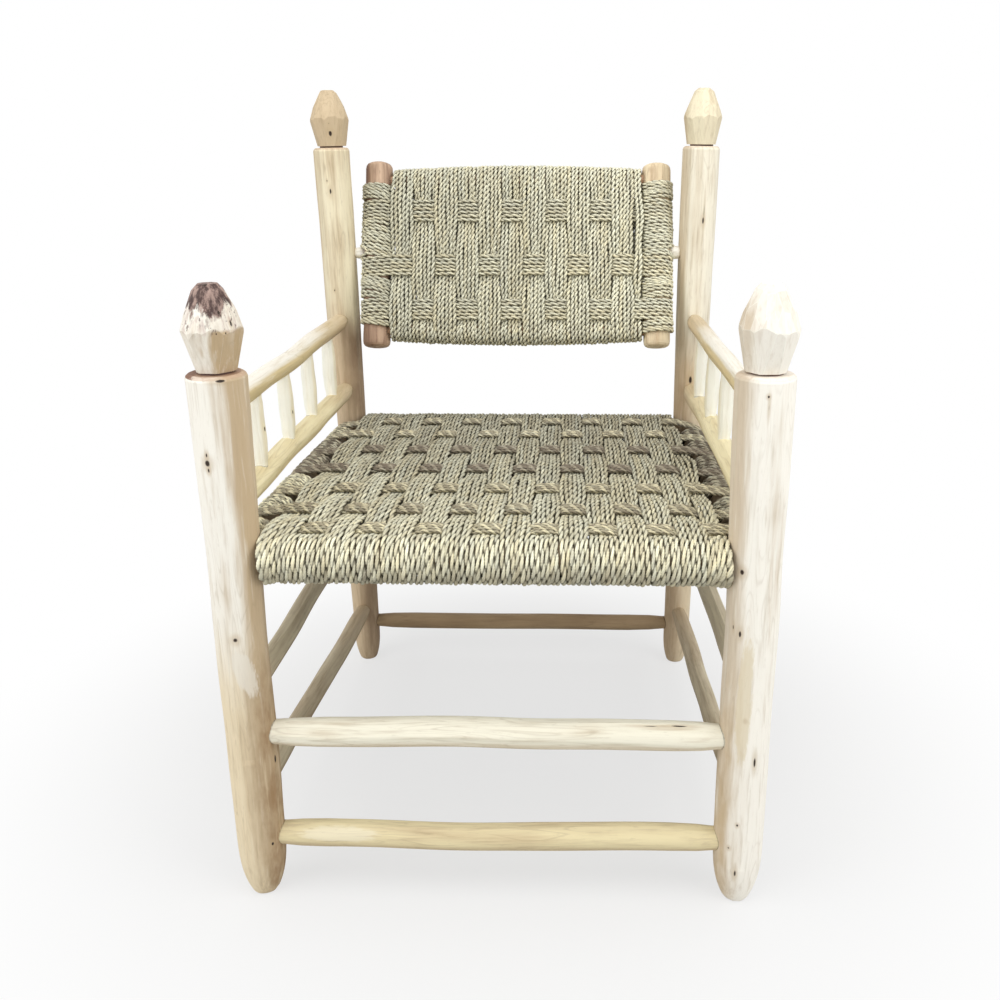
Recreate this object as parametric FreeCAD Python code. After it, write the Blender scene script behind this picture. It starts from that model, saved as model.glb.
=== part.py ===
"""Armchair of whittled round wood with a woven cord seat and a tilting woven back.

Millimetres, +Z up, +X to the right of someone facing the chair, and the chair's front towards -Y.
The origin is on the floor under the middle of the whole chair.
"""

import FreeCAD, Part
import math
import os

from FreeCAD import Placement, Rotation, Vector

# Driving dimensions in millimetres and degrees

# Places of the four posts
post_depth = 562.0
front_post_spacing = 550.0
rear_foot_spacing = 520.0
rear_shoulder_spacing = 543.0

# Front posts
front_shoulder_z = 620.0
front_foot_r = 27.5
front_seat_r = 28.2
front_top_r = 31.5
front_foot_taper = 80.0
front_foot_flat_r = 14.0

# Rear posts
rear_shoulder_z = 833.0
rear_foot_r = 21.0
rear_seat_r = 22.4
rear_top_r = 27.0
rear_foot_taper = 60.0
rear_foot_flat_r = 13.0

# Pointed tops, carved in one with the posts above a saw kerf
finial_facets = 12
shoulder_edge = 2.0
kerf_height = 2.4
kerf_depth = 3.5
front_finial_base_r = 22.0
front_finial_wide_r = 31.5
front_finial_tip_r = 11.0
front_finial_wide_h = 45.0
front_finial_h = 89.0
rear_finial_base_r = 20.0
rear_finial_wide_r = 27.0
rear_finial_tip_r = 9.5
rear_finial_wide_h = 40.0
rear_finial_h = 80.0

# Seat rails, falling towards the rear, with the side rails' tenons stopped beside the cross rails' tenons
front_rail_z = 421.0
rear_rail_z = 405.0
side_rail_drop = 6.0
seat_rail_r = 17.0
seat_tenon_r = 10.5
tenon_wall = 3.0

# Stretchers between the legs
front_low_z = 76.0
front_high_z = 209.0
front_low_r = 15.5
front_high_r = 16.5
front_tenon_r = 12.0
back_stretcher_z = 68.0
back_stretcher_r = 13.0
side_high_z = 254.0
side_low_front_z = 128.0
side_low_rear_z = 93.0
side_stretcher_r = 12.0
side_tenon_r = 9.0

# Arms, each with two rails and a row of spindles
arm_high_z = 580.0
arm_low_z = 473.0
arm_high_r = 12.5
arm_low_r = 14.0
arm_tenon_r = 10.0
spindle_count = 4
spindle_r = 9.0
spindle_tenon_r = 6.0

# Tapered ends of the sticks
stretcher_taper = 60.0
rail_taper = 30.0
spindle_taper = 24.0

# Tilting back, measured from its pivot along the leaning stiles
pivot_z = 680.0
back_lean = 20.4
stile_r = 19.5
stile_up = 137.0
stile_down = 144.0
stile_edge = 2.5
back_rail_up = 110.0
back_rail_down = 118.0
back_rail_r = 11.0
back_tenon_r = 8.0
peg_r = 6.0
panel_gap = 8.0

# Cord and its windings on the stiles
cord_d = 6.2
lashing_turns = 24
lashing_pitch = 7.4
weft_rise = 0.4

# Clearances
tenon_clearance = 0.12
tip_clearance = 0.6
foot_trim = 1.0
shoulder_clearance = 1.0
running_clearance = 0.06
cord_clearance = 0.3
weave_clearance = 1.5

# Sizes that follow from the driving dimensions
lean = math.radians(back_lean)
back_reach = (stile_up - stile_edge) * math.sin(lean) + stile_r * math.cos(lean)
front_reach = max(front_top_r, front_finial_wide_r)
rear_reach = max(rear_top_r, rear_finial_wide_r, back_reach)
front_y = -(post_depth + rear_reach - front_reach) / 2
rear_y = front_y + post_depth
wrap_r = seat_rail_r + cord_clearance + cord_d
coil_r = stile_r + cord_clearance + cord_d / 2
lashing_r = coil_r + cord_d / 2

SIDES = {"left": -1, "right": 1}
UP = Vector(0, 0, 1)
ACROSS = Vector(1, 0, 0)

nodes = {}
panel_nodes = []


# Places on the posts

def front_axis(side, z):
    """Point at height z on the axis of a front post."""
    return Vector(side * front_post_spacing / 2, front_y, z)


def rear_axis(side, z):
    """Point at height z on the axis of a rear post, which splays a little."""
    spacing = rear_foot_spacing + (rear_shoulder_spacing - rear_foot_spacing) * z / rear_shoulder_z
    return Vector(side * spacing / 2, rear_y, z)


def between(low_z, low_r, high_z, high_r, z):
    """Radius at height z on a straight taper."""
    return low_r + (high_r - low_r) * (z - low_z) / (high_z - low_z)


def front_radius(z):
    """Radius of a front post at height z above its foot."""
    if z < front_rail_z:
        return between(front_foot_taper, front_foot_r, front_rail_z, front_seat_r, z)
    return between(front_rail_z, front_seat_r, front_shoulder_z, front_top_r, z)


def rear_radius(z):
    """Radius of a rear post at height z above its foot."""
    if z < rear_rail_z:
        return between(rear_foot_taper, rear_foot_r, rear_rail_z, rear_seat_r, z)
    return between(rear_rail_z, rear_seat_r, rear_shoulder_z, rear_top_r, z)


# Turned and placed shapes

def lathe(edges):
    """Solid of revolution about Z from a closed outline in the XZ plane."""
    face = Part.Face(Part.Wire(edges))
    return face.revolve(Vector(0, 0, 0), UP, 360)


def lines(points):
    """Straight edges through (radius, height) points."""
    corners = [Vector(r, 0, z) for r, z in points]
    return [Part.makeLine(a, b) for a, b in zip(corners, corners[1:])]


def along(shape, start, end):
    """The shape, made along +Z from the origin, laid from start towards end."""
    placed = shape.copy()
    placed.Placement = Placement(start, Rotation(UP, end - start))
    return placed


def polygon_wire(radius, z):
    """Closed regular polygon at height z with one corner for each facet."""
    step = 2 * math.pi / finial_facets
    corners = [Vector(radius * math.cos(k * step), radius * math.sin(k * step), z)
               for k in range(finial_facets)]
    return Part.makePolygon(corners + corners[:1])


# Posts

def make_post(foot, shoulder, radii, seat_z, foot_taper, foot_flat_r, finial):
    """Post from its foot to its shoulder, with the faceted top above a saw kerf."""
    foot_r, seat_r, top_r = radii
    base_r, wide_r, tip_r, wide_h, total_h = finial
    height = (shoulder - foot).Length
    inset = foot_r - foot_flat_r
    curve_r = (inset ** 2 + foot_taper ** 2) / (2 * inset)
    half = foot_taper / 2
    bulge = Vector(foot_r - curve_r + math.sqrt(curve_r ** 2 - half ** 2), 0, half)
    curve = Part.Arc(Vector(foot_flat_r, 0, 0), bulge, Vector(foot_r, 0, foot_taper)).toShape()
    kerf_r = base_r - kerf_depth
    stub_top = height + (kerf_height + wide_h) / 2
    edges = lines([(0, -foot_trim), (foot_flat_r, -foot_trim), (foot_flat_r, 0)]) + [curve]
    edges += lines([(foot_r, foot_taper), (seat_r, seat_z), (top_r, height - shoulder_edge),
                    (top_r - shoulder_edge, height), (kerf_r, height), (kerf_r, stub_top),
                    (0, stub_top), (0, -foot_trim)])
    levels = [polygon_wire(base_r, height + kerf_height), polygon_wire(wide_r, height + wide_h),
              polygon_wire(tip_r, height + total_h)]
    top = Part.makeLoft(levels, True, True)
    post = along(lathe(edges).fuse(top).removeSplitter(), foot, shoulder)
    reach = 2 * top_r
    floor = Part.makeBox(2 * reach, 2 * reach, reach, foot - Vector(reach, reach, reach))
    return post.cut(floor)


for word, side in SIDES.items():
    nodes[f"{word}_front_post"] = make_post(
        front_axis(side, 0), front_axis(side, front_shoulder_z),
        (front_foot_r, front_seat_r, front_top_r), front_rail_z, front_foot_taper, front_foot_flat_r,
        (front_finial_base_r, front_finial_wide_r, front_finial_tip_r, front_finial_wide_h, front_finial_h))
    nodes[f"{word}_rear_post"] = make_post(
        rear_axis(side, 0), rear_axis(side, rear_shoulder_z),
        (rear_foot_r, rear_seat_r, rear_top_r), rear_rail_z, rear_foot_taper, rear_foot_flat_r,
        (rear_finial_base_r, rear_finial_wide_r, rear_finial_tip_r, rear_finial_wide_h, rear_finial_h))


# Sticks with tapered tenons, each let into the two pieces that hold it

def drill(host, tip, toward, radius, depth):
    """Blind round hole in a piece, open towards a point and a little deeper than the tenon's tip."""
    direction = (toward - tip).normalize()
    start = tip - direction * tip_clearance
    nodes[host] = nodes[host].cut(Part.makeCylinder(radius, depth + tip_clearance, start, direction))


def join(name, start, end, middle_r, tenon_r, taper):
    """Stick between two (host, tip point, host radius) ends, with its mortises."""
    (start_host, start_tip, start_r), (end_host, end_tip, end_r) = start, end
    length = (end_tip - start_tip).Length
    start_grip = start_r + shoulder_clearance
    end_grip = end_r + shoulder_clearance
    outline = [(0, 0), (tenon_r, 0), (tenon_r, start_grip), (middle_r, start_grip + taper),
               (middle_r, length - end_grip - taper), (tenon_r, length - end_grip),
               (tenon_r, length), (0, length), (0, 0)]
    nodes[name] = along(lathe(lines(outline)), start_tip, end_tip)
    hole_r = tenon_r + tenon_clearance
    drill(start_host, start_tip, end_tip, hole_r, start_grip)
    drill(end_host, end_tip, start_tip, hole_r, end_grip)


def front_end(word, z):
    """Where a stick enters a front post at height z."""
    return (f"{word}_front_post", front_axis(SIDES[word], z), front_radius(z))


def rear_end(word, z):
    """Where a stick enters a rear post at height z."""
    return (f"{word}_rear_post", rear_axis(SIDES[word], z), rear_radius(z))


def stopped(end, far_end):
    """The end of a side rail, stopped short of the post's axis beside a cross rail's tenon."""
    host, tip, radius = end
    stop = seat_tenon_r + tenon_wall
    return (host, tip + (far_end[1] - tip).normalize() * stop, radius - stop)


# Seat rails
join("front_seat_rail", front_end("left", front_rail_z), front_end("right", front_rail_z),
     seat_rail_r, seat_tenon_r, rail_taper)
join("rear_seat_rail", rear_end("left", rear_rail_z), rear_end("right", rear_rail_z),
     seat_rail_r, seat_tenon_r, rail_taper)
for word in SIDES:
    front = front_end(word, front_rail_z - side_rail_drop)
    rear = rear_end(word, rear_rail_z - side_rail_drop)
    join(f"{word}_seat_rail", stopped(front, rear), stopped(rear, front),
         seat_rail_r, seat_tenon_r, rail_taper)

# Stretchers
join("front_low_stretcher", front_end("left", front_low_z), front_end("right", front_low_z),
     front_low_r, front_tenon_r, stretcher_taper)
join("front_high_stretcher", front_end("left", front_high_z), front_end("right", front_high_z),
     front_high_r, front_tenon_r, stretcher_taper)
join("back_stretcher", rear_end("left", back_stretcher_z), rear_end("right", back_stretcher_z),
     back_stretcher_r, side_tenon_r, stretcher_taper)
for word in SIDES:
    join(f"{word}_high_stretcher", front_end(word, side_high_z), rear_end(word, side_high_z),
         side_stretcher_r, side_tenon_r, stretcher_taper)
    join(f"{word}_low_stretcher", front_end(word, side_low_front_z), rear_end(word, side_low_rear_z),
         side_stretcher_r, side_tenon_r, stretcher_taper)

# Arm rails and the spindles evenly spaced along them
for word, side in SIDES.items():
    high_rail = f"{word}_high_arm_rail"
    low_rail = f"{word}_low_arm_rail"
    join(high_rail, front_end(word, arm_high_z), rear_end(word, arm_high_z),
         arm_high_r, arm_tenon_r, rail_taper)
    join(low_rail, front_end(word, arm_low_z), rear_end(word, arm_low_z),
         arm_low_r, arm_tenon_r, rail_taper)
    for k in range(1, spindle_count + 1):
        share = k / (spindle_count + 1)
        low_front, low_rear = front_axis(side, arm_low_z), rear_axis(side, arm_low_z)
        high_front, high_rear = front_axis(side, arm_high_z), rear_axis(side, arm_high_z)
        foot = low_front + (low_rear - low_front) * share
        head = high_front + (high_rear - high_front) * share
        join(f"{word}_arm_spindle_{k}", (low_rail, foot, arm_low_r), (high_rail, head, arm_high_r),
             spindle_r, spindle_tenon_r, spindle_taper)


# Woven seat

def stadium_face(first, second, radius):
    """Flat face around two equal circles in the YZ plane."""
    run = (second - first).normalize()
    up = ACROSS.cross(run)
    top = Part.makeLine(first + up * radius, second + up * radius)
    bottom = Part.makeLine(second - up * radius, first - up * radius)
    far = Part.Arc(second + up * radius, second + run * radius, second - up * radius).toShape()
    near = Part.Arc(first - up * radius, first - run * radius, first + up * radius).toShape()
    return Part.Face(Part.Wire([top, far, bottom, near]))


def sleeve(first, second, rail_r, half_width):
    """Band of cords laid side by side around two rails, hollow between them."""
    inner_r = rail_r + cord_clearance
    outer = stadium_face(first, second, inner_r + cord_d)
    inner = stadium_face(first, second, inner_r)
    start = ACROSS * -half_width
    length = ACROSS * (2 * half_width)
    outer.translate(start)
    inner.translate(start)
    return outer.extrude(length).cut(inner.extrude(length))


def tangent_angle(centre, radius, corner, turn):
    """Angle on a circle where a line from an outside corner touches it, on the given side."""
    away = corner - centre
    return math.atan2(away.z, away.x) + turn * math.acos(radius / away.Length)


def weft_wire(rail, radius, top, bottom):
    """Outline of the side to side cords, which slope from the flat middle down and round both side rails."""
    high_angle = tangent_angle(rail, radius, top, -1)
    low_angle = tangent_angle(rail, radius, bottom, 1) % (2 * math.pi) - 2 * math.pi
    split = (low_angle + high_angle) / 2

    def on_rail(angle):
        return rail + Vector(radius * math.cos(angle), 0, radius * math.sin(angle))

    right = [Part.makeLine(bottom, on_rail(low_angle)),
             Part.Arc(on_rail(low_angle), on_rail((low_angle + split) / 2), on_rail(split)).toShape(),
             Part.Arc(on_rail(split), on_rail((split + high_angle) / 2), on_rail(high_angle)).toShape(),
             Part.makeLine(on_rail(high_angle), top)]
    left = [edge.mirror(Vector(0, 0, 0), ACROSS) for edge in reversed(right)]
    across_top = Part.makeLine(top, Vector(-top.x, top.y, top.z))
    across_bottom = Part.makeLine(Vector(-bottom.x, bottom.y, bottom.z), bottom)
    return Part.Wire(right + [across_top] + left + [across_bottom])


def weft_solid(wall):
    """Space inside the side to side cords' outer face, or inside their inner face a wall further in."""
    sections = []
    front = front_axis(1, front_rail_z - side_rail_drop)
    rear = rear_axis(1, rear_rail_z - side_rail_drop)
    for y in (front_y + front_seat_r + weave_clearance, rear_y - rear_seat_r - weave_clearance):
        rail = front + (rear - front) * ((y - front_y) / post_depth)
        middle_z = rail.z + side_rail_drop
        rise = wrap_r + weft_rise - wall
        top = Vector(rail.x - wrap_r - wall / 3, y, middle_z + rise)
        bottom = Vector(rail.x - 2 * wrap_r + wall / 3, y, middle_z - rise)
        sections.append(weft_wire(rail, wrap_r - wall, top, bottom))
    return Part.makeLoft(sections, True, True)


def make_woven_seat():
    """Front to back cords round the cross rails, joined to side to side cords round the side rails."""
    front_gap = front_axis(1, front_rail_z).x - front_seat_r
    rear_gap = rear_axis(1, rear_rail_z).x - rear_seat_r
    half_width = min(front_gap, rear_gap) - weave_clearance
    warp = sleeve(Vector(0, front_y, front_rail_z), Vector(0, rear_y, rear_rail_z), seat_rail_r, half_width)
    weft = weft_solid(0).cut(weft_solid(cord_d))
    return warp.fuse(weft).removeSplitter()


nodes["woven_seat"] = make_woven_seat()


# Tilting back, made upright about its pivot and leaned at the end
stile_x = rear_axis(1, pivot_z).x - rear_radius(pivot_z) - panel_gap - lashing_r


def add_panel(name, shape):
    """Keep a piece of the tilting back."""
    nodes[name] = shape
    panel_nodes.append(name)


def make_stile(x):
    """Upright stick of the back with broken edges."""
    length = stile_up + stile_down
    outline = [(0, 0), (stile_r - stile_edge, 0), (stile_r, stile_edge), (stile_r, length - stile_edge),
               (stile_r - stile_edge, length), (0, length), (0, 0)]
    return along(lathe(lines(outline)), Vector(x, 0, -stile_down), Vector(x, 0, stile_up))


for word, side in SIDES.items():
    add_panel(f"{word}_back_stile", make_stile(side * stile_x))

for word, height in (("top", back_rail_up), ("bottom", -back_rail_down)):
    tips = [("left_back_stile", Vector(-stile_x, 0, height), stile_r),
            ("right_back_stile", Vector(stile_x, 0, height), stile_r)]
    join(f"{word}_back_rail", tips[0], tips[1], back_rail_r, back_tenon_r, rail_taper)
    panel_nodes.append(f"{word}_back_rail")

# Pivot pegs, tight in the stiles and free to turn in the rear posts
for word, side in SIDES.items():
    stile_tip = Vector(side * stile_x, 0, 0)
    post_tip = Vector(rear_axis(side, pivot_z).x, 0, 0)
    peg_length = (post_tip - stile_tip).Length
    add_panel(f"{word}_pivot_peg", Part.makeCylinder(peg_r, peg_length, stile_tip, ACROSS * side))
    drill(f"{word}_back_stile", stile_tip, post_tip, peg_r + running_clearance, peg_length)
    drill(f"{word}_rear_post", rear_axis(side, pivot_z), Vector(0, rear_y, pivot_z),
          peg_r + running_clearance, peg_length)

back_half_width = stile_x - lashing_r - weave_clearance
add_panel("woven_back", sleeve(Vector(0, 0, -back_rail_down), Vector(0, 0, back_rail_up),
                               back_rail_r, back_half_width))


# Cord windings on the stiles

def arc_with_tangents(start, corner, end):
    """Arc from start to end whose end tangents meet at the corner."""
    middle = (start + end) / 2
    half_chord = (end - start).Length / 2
    rise = corner - middle
    sagitta = half_chord * math.tan(math.atan2(rise.Length, half_chord) / 2)
    return Part.Arc(start, middle + rise.normalize() * sagitta, end).toShape()


def biarc(start, start_run, end, end_run):
    """Two arcs that leave start and reach end along the given unit directions."""
    chord = end - start
    spread = 1 - start_run.dot(end_run)
    slope = chord.dot(start_run + end_run)
    reach = (math.sqrt(slope ** 2 + 2 * spread * chord.dot(chord)) - slope) / (2 * spread)
    first_corner = start + start_run * reach
    last_corner = end - end_run * reach
    joint = (first_corner + last_corner) / 2
    return [arc_with_tangents(start, first_corner, joint), arc_with_tangents(joint, last_corner, end)]


def lashing_path(side):
    """Winding that goes round one stile and passes its peg, with straight ends."""
    x = side * stile_x
    peg_skip = peg_r + cord_clearance + cord_d
    half_turns = lashing_turns // 2
    climb = math.atan2(lashing_pitch / 2, math.pi * coil_r)
    outward = Vector(side * math.cos(climb), 0, math.sin(climb))
    inward = Vector(-side * math.cos(climb), 0, math.sin(climb))
    stations = []
    for turn in range(lashing_turns):
        step = turn - half_turns
        height = peg_skip + step * lashing_pitch if step >= 0 else (step + 1) * lashing_pitch - peg_skip
        stations.append((Vector(x, -coil_r, height - lashing_pitch / 4), outward))
        stations.append((Vector(x, coil_r, height + lashing_pitch / 4), inward))
    first, first_run = stations[0]
    last, last_run = stations[-1]
    edges = [Part.makeLine(first - first_run * cord_d, first)]
    for (start, start_run), (end, end_run) in zip(stations, stations[1:]):
        edges += biarc(start, start_run, end, end_run)
    edges.append(Part.makeLine(last, last + last_run * cord_d))
    return edges


def least_gap(edges):
    """Least distance between the surfaces of turns that are at least half a turn apart."""
    samples_per_edge = 8
    points = []
    for edge in edges:
        points += edge.discretize(samples_per_edge)[:-1]
    apart = 2 * (samples_per_edge - 1)
    nearest = min((points[i] - points[j]).Length
                  for i in range(len(points)) for j in range(i + apart, len(points)))
    return nearest - cord_d


def make_lashing(side):
    """One unbroken cord wound on a stile."""
    edges = lashing_path(side)
    first = edges[0]
    start = first.Vertexes[0].Point
    run = first.Vertexes[1].Point - start
    shell = Part.BRepOffsetAPI.MakePipeShell(Part.Wire(edges))
    shell.add(Part.Wire(Part.makeCircle(cord_d / 2, start, run)))
    shell.build()
    shell.makeSolid()
    return shell.shape(), least_gap(edges)


for word, side in SIDES.items():
    solid, gap = make_lashing(side)
    add_panel(f"{word}_stile_lashing", solid)
    print(f"{word}_stile_lashing: {lashing_turns} turns, least gap to itself {gap:.2f} mm")

# Lean the back about its pivot
turn = Placement(Vector(0, rear_y, pivot_z), Rotation(ACROSS, -back_lean))
for name in panel_nodes:
    nodes[name].Placement = turn.multiply(nodes[name].Placement)

os.makedirs("parts", exist_ok=True)
for name, shape in nodes.items():
    shape.exportStep(f"parts/{name}.step")
print(f"{len(nodes)} pieces, posts at y {front_y:.1f} and {rear_y:.1f}")
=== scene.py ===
"""Looks of a whittled armchair with a woven cord seat and a tilting woven back.

Metres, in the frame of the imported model: +Z up, the chair's front towards -Y and +X to the viewer's right.
"""

import math
from functools import partial
from types import SimpleNamespace

import bmesh
import bpy
import numpy as np
from bpy.props import FloatProperty, FloatVectorProperty, IntProperty, PointerProperty
from bpy.types import Operator, Panel, PropertyGroup
from mathutils import Matrix, Vector


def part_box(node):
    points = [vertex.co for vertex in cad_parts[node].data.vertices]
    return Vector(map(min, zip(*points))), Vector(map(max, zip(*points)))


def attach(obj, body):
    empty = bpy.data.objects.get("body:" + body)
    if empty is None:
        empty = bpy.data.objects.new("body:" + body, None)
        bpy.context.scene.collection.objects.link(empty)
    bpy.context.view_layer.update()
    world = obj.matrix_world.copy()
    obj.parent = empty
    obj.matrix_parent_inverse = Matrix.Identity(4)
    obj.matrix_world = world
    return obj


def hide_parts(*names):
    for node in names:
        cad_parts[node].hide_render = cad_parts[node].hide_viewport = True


bl_info = {
    "name": "Woven Palm Chair",
    "version": (1, 0, 0),
    "blender": (4, 5, 0),
    "location": "View3D > Sidebar > Chair",
    "description": "Whittled posts, shaved sticks and twisted palm cord of a woven armchair",
    "category": "Add Mesh",
}

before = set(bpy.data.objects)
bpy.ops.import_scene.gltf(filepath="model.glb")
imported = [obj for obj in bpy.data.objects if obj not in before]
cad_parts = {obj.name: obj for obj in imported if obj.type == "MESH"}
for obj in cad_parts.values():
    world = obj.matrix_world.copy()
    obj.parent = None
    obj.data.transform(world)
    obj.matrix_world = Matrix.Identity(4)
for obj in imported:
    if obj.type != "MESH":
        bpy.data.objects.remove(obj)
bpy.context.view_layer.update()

SIDES = {"left": -1, "right": 1}


def middle(node):
    """Centre of a CAD node's box."""
    low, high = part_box(node)
    return (low + high) / 2


def half_height(node):
    """Half the height of a CAD node's box, which is a level stick's radius."""
    low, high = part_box(node)
    return (high.z - low.z) / 2


FRONT_RAIL = middle("front_seat_rail")
REAR_RAIL = middle("rear_seat_rail")
PIVOT = Vector((0, middle("left_pivot_peg").y, middle("left_pivot_peg").z))
STILE_X = middle("right_back_stile").x
BACK_LEAN = math.radians(20.4)


# Sizes and colours a user would change

class ChairPostSizes(PropertyGroup):
    """Posts and their carved tops."""

    front_x: FloatProperty(name="Front post from middle", description="Half the front posts' spacing",
                           default=middle("right_front_post").x, unit="LENGTH")
    rear_foot_x: FloatProperty(name="Rear foot from middle", description="Half the rear feet's spacing",
                               default=0.260, unit="LENGTH")
    rear_top_x: FloatProperty(name="Rear shoulder from middle", default=0.2715, unit="LENGTH",
                              description="Half the rear shoulders' spacing")
    front_shoulder: FloatProperty(name="Front shoulder", description="Height of the front posts' shoulder",
                                  default=0.620, unit="LENGTH")
    rear_shoulder: FloatProperty(name="Rear shoulder", description="Height of the rear posts' shoulder",
                                 default=0.833, unit="LENGTH")
    kerf: FloatProperty(name="Saw kerf", description="Height of the cut under a carved top",
                        default=0.0024, unit="LENGTH")


class ChairCordSizes(PropertyGroup):
    """Twisted cord and how it is woven."""

    width: FloatProperty(name="Cord", description="Diameter of the twisted cord", default=0.0056,
                         unit="LENGTH")
    seat_lay: FloatProperty(name="Seat twist", description="Length of one twist in the seat's long cords",
                            default=0.032, unit="LENGTH")
    weft_lay: FloatProperty(name="Cross twist", description="Length of one twist in the seat's cross cords",
                            default=0.0145, unit="LENGTH")
    back_lay: FloatProperty(name="Back twist", description="Length of one twist in the back's upright cords",
                            default=0.0165, unit="LENGTH")
    winding_lay: FloatProperty(name="Winding twist", description="Length of one twist in the stile windings",
                               default=0.022, unit="LENGTH")
    lift: FloatProperty(name="Lift", description="Rise of the long cords over the cross cords",
                        default=0.0034, unit="LENGTH")
    seat_groups: IntProperty(name="Seat groups", description="Groups of cords across the seat", default=16)
    back_groups: IntProperty(name="Back groups", description="Groups of cords across the back", default=11)
    group_cords: IntProperty(name="Cords in a group", description="Cords laid side by side in a group",
                             default=6)


class ChairWoodColours(PropertyGroup):
    """Peeled wood from pale to bark."""

    white: FloatVectorProperty(name="Bleached", description="Palest, sun-bleached wood", subtype="COLOR",
                               default=(0.965, 0.93, 0.84))
    cream: FloatVectorProperty(name="Cream", description="Pale peeled wood", subtype="COLOR",
                               default=(0.86, 0.78, 0.57))
    # Tan is the dark wood of posts and some stretchers, and so also the colour of their painted shade
    tan: FloatVectorProperty(name="Tan", description="Warm side of peeled wood", subtype="COLOR",
                             default=(0.54, 0.405, 0.245))
    brown: FloatVectorProperty(name="Brown", description="Darker sticks of the back", subtype="COLOR",
                               default=(0.40, 0.24, 0.15))
    bark: FloatVectorProperty(name="Bark", description="Bark left on the wood", subtype="COLOR",
                              default=(0.13, 0.075, 0.065))
    knot: FloatVectorProperty(name="Knot", description="Heart of a knot", subtype="COLOR",
                              default=(0.035, 0.022, 0.015))


class ChairCordColours(PropertyGroup):
    """Palm cord from green to brown."""

    green: FloatVectorProperty(name="Green straw", description="Green-grey cord", subtype="COLOR",
                               default=(0.91, 0.895, 0.705))
    straw: FloatVectorProperty(name="Yellow straw", description="Yellow cord", subtype="COLOR",
                               default=(0.92, 0.84, 0.57))
    brown: FloatVectorProperty(name="Brown straw", description="Weathered brown cord", subtype="COLOR",
                               default=(0.38, 0.31, 0.23))
    # gap: the painted shade in the grooves between cords and between plies
    gap: FloatVectorProperty(name="Gap", description="Depth between cords and between plies", subtype="COLOR",
                             default=(0.055, 0.046, 0.030))


class ChairStage(PropertyGroup):
    """Floor and light."""

    floor: FloatVectorProperty(name="Floor", description="Colour of the floor", subtype="COLOR",
                               default=(0.66, 0.66, 0.65))
    sky: FloatProperty(name="Surround", description="Strength of the even light all round", default=0.52)
    lamp: FloatProperty(name="Side lamps", description="Power of the large lamps", default=25.0, unit="POWER")


# Shader maths

class Signal:
    """One socket of a node tree, so that shader maths reads as Python."""

    def __init__(self, socket):
        self.socket = socket

    @classmethod
    def make(cls, tree, kind, sockets=None, out=0, **settings):
        """New node: its settings first, then the values or links of its sockets, and the wanted output."""
        node = tree.nodes.new(kind)
        for key, value in settings.items():
            setattr(node, key, value)
        for key, value in (sockets or {}).items():
            socket = node.inputs[key]
            if isinstance(value, Signal):
                tree.links.new(value.socket, socket)
            elif socket.type == "VECTOR" and isinstance(value, (int, float)):
                socket.default_value = (value, value, value)
            elif socket.type == "RGBA":
                socket.default_value = (*value[:3], 1.0)
            else:
                socket.default_value = value
        return cls(node.outputs[out])

    def node(self, kind, sockets=None, out=0, **settings):
        """New node in this socket's tree."""
        return Signal.make(self.socket.id_data, kind, sockets, out, **settings)

    def maths(self, operation, *terms):
        """Math node, or Vector Math where a term is a vector."""
        vector = any(isinstance(t, Signal) and t.socket.type == "VECTOR" for t in terms)
        kind = "ShaderNodeVectorMath" if vector else "ShaderNodeMath"
        return self.node(kind, dict(enumerate(terms)), operation=operation)

    def __add__(self, other):
        return self.maths("ADD", self, other)

    def __radd__(self, other):
        return self.maths("ADD", other, self)

    def __sub__(self, other):
        return self.maths("SUBTRACT", self, other)

    def __rsub__(self, other):
        return self.maths("SUBTRACT", other, self)

    def __mul__(self, other):
        return self.maths("MULTIPLY", self, other)

    def __rmul__(self, other):
        return self.maths("MULTIPLY", other, self)

    def __truediv__(self, other):
        return self.maths("DIVIDE", self, other)

    def length(self):
        """Length of a vector."""
        return self.node("ShaderNodeVectorMath", {0: self}, "Value", operation="LENGTH")

    def parts(self):
        """The three numbers of a vector."""
        return [self.node("ShaderNodeSeparateXYZ", {0: self}, axis) for axis in "XYZ"]

    def step(self, low, high):
        """Smooth change from 0 at low to 1 at high."""
        return self.node("ShaderNodeMapRange", {"Value": self, "From Min": low, "From Max": high},
                         interpolation_type="SMOOTHSTEP")

    def noise(self, scale, detail=3.0, roughness=0.5):
        """Cloudy noise at this place, from 0 to 1."""
        return self.node("ShaderNodeTexNoise", {"Vector": self, "Scale": scale, "Detail": detail,
                                                "Roughness": roughness})

    def mix(self, other, factor, mode="MIX"):
        """Colour mixed with another."""
        sockets = {0: factor, 6: self, 7: other}
        return self.node("ShaderNodeMix", sockets, 2, data_type="RGBA", blend_type=mode)

    def between(self, low, high):
        """Colour between two, by this share."""
        return self.node("ShaderNodeMix", {0: self, 6: low, 7: high}, 2, data_type="RGBA")

    def bump(self, strength, distance):
        """Normal bent by this height."""
        return self.node("ShaderNodeBump", {"Height": self, "Strength": strength, "Distance": distance})


def new_material(name, specular):
    """Empty material with its tree and shader."""
    material = bpy.data.materials.new(name)
    material.use_nodes = True
    tree = material.node_tree
    shader = tree.nodes["Principled BSDF"]
    shader.inputs["Specular IOR Level"].default_value = specular
    return material, tree, shader


def feed(tree, shader, **signals):
    """Link signals to the shader's sockets, named with underscores for spaces."""
    for key, signal in signals.items():
        tree.links.new(signal.socket, shader.inputs[key.replace("_", " ")])


WOOD_SHINE, CORD_SHINE = 0.3, 0.25
# A height above every stick, for painted shade on a side that doesn't end
PAST_ENDS = 9.0


def own_value(tree, name, out="Fac"):
    """Value that a piece's points or faces carry."""
    return Signal.make(tree, "ShaderNodeAttribute", out=out, attribute_name=name)


def rest_place(tree):
    """Place in the model's frame, for CAD nodes that carry no grain of their own."""
    return Signal.make(tree, "ShaderNodeTexCoord", out="Object")


def grain_place(tree):
    """Place in a stick: across, across and along it."""
    return own_value(tree, "grain", "Vector")


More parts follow.
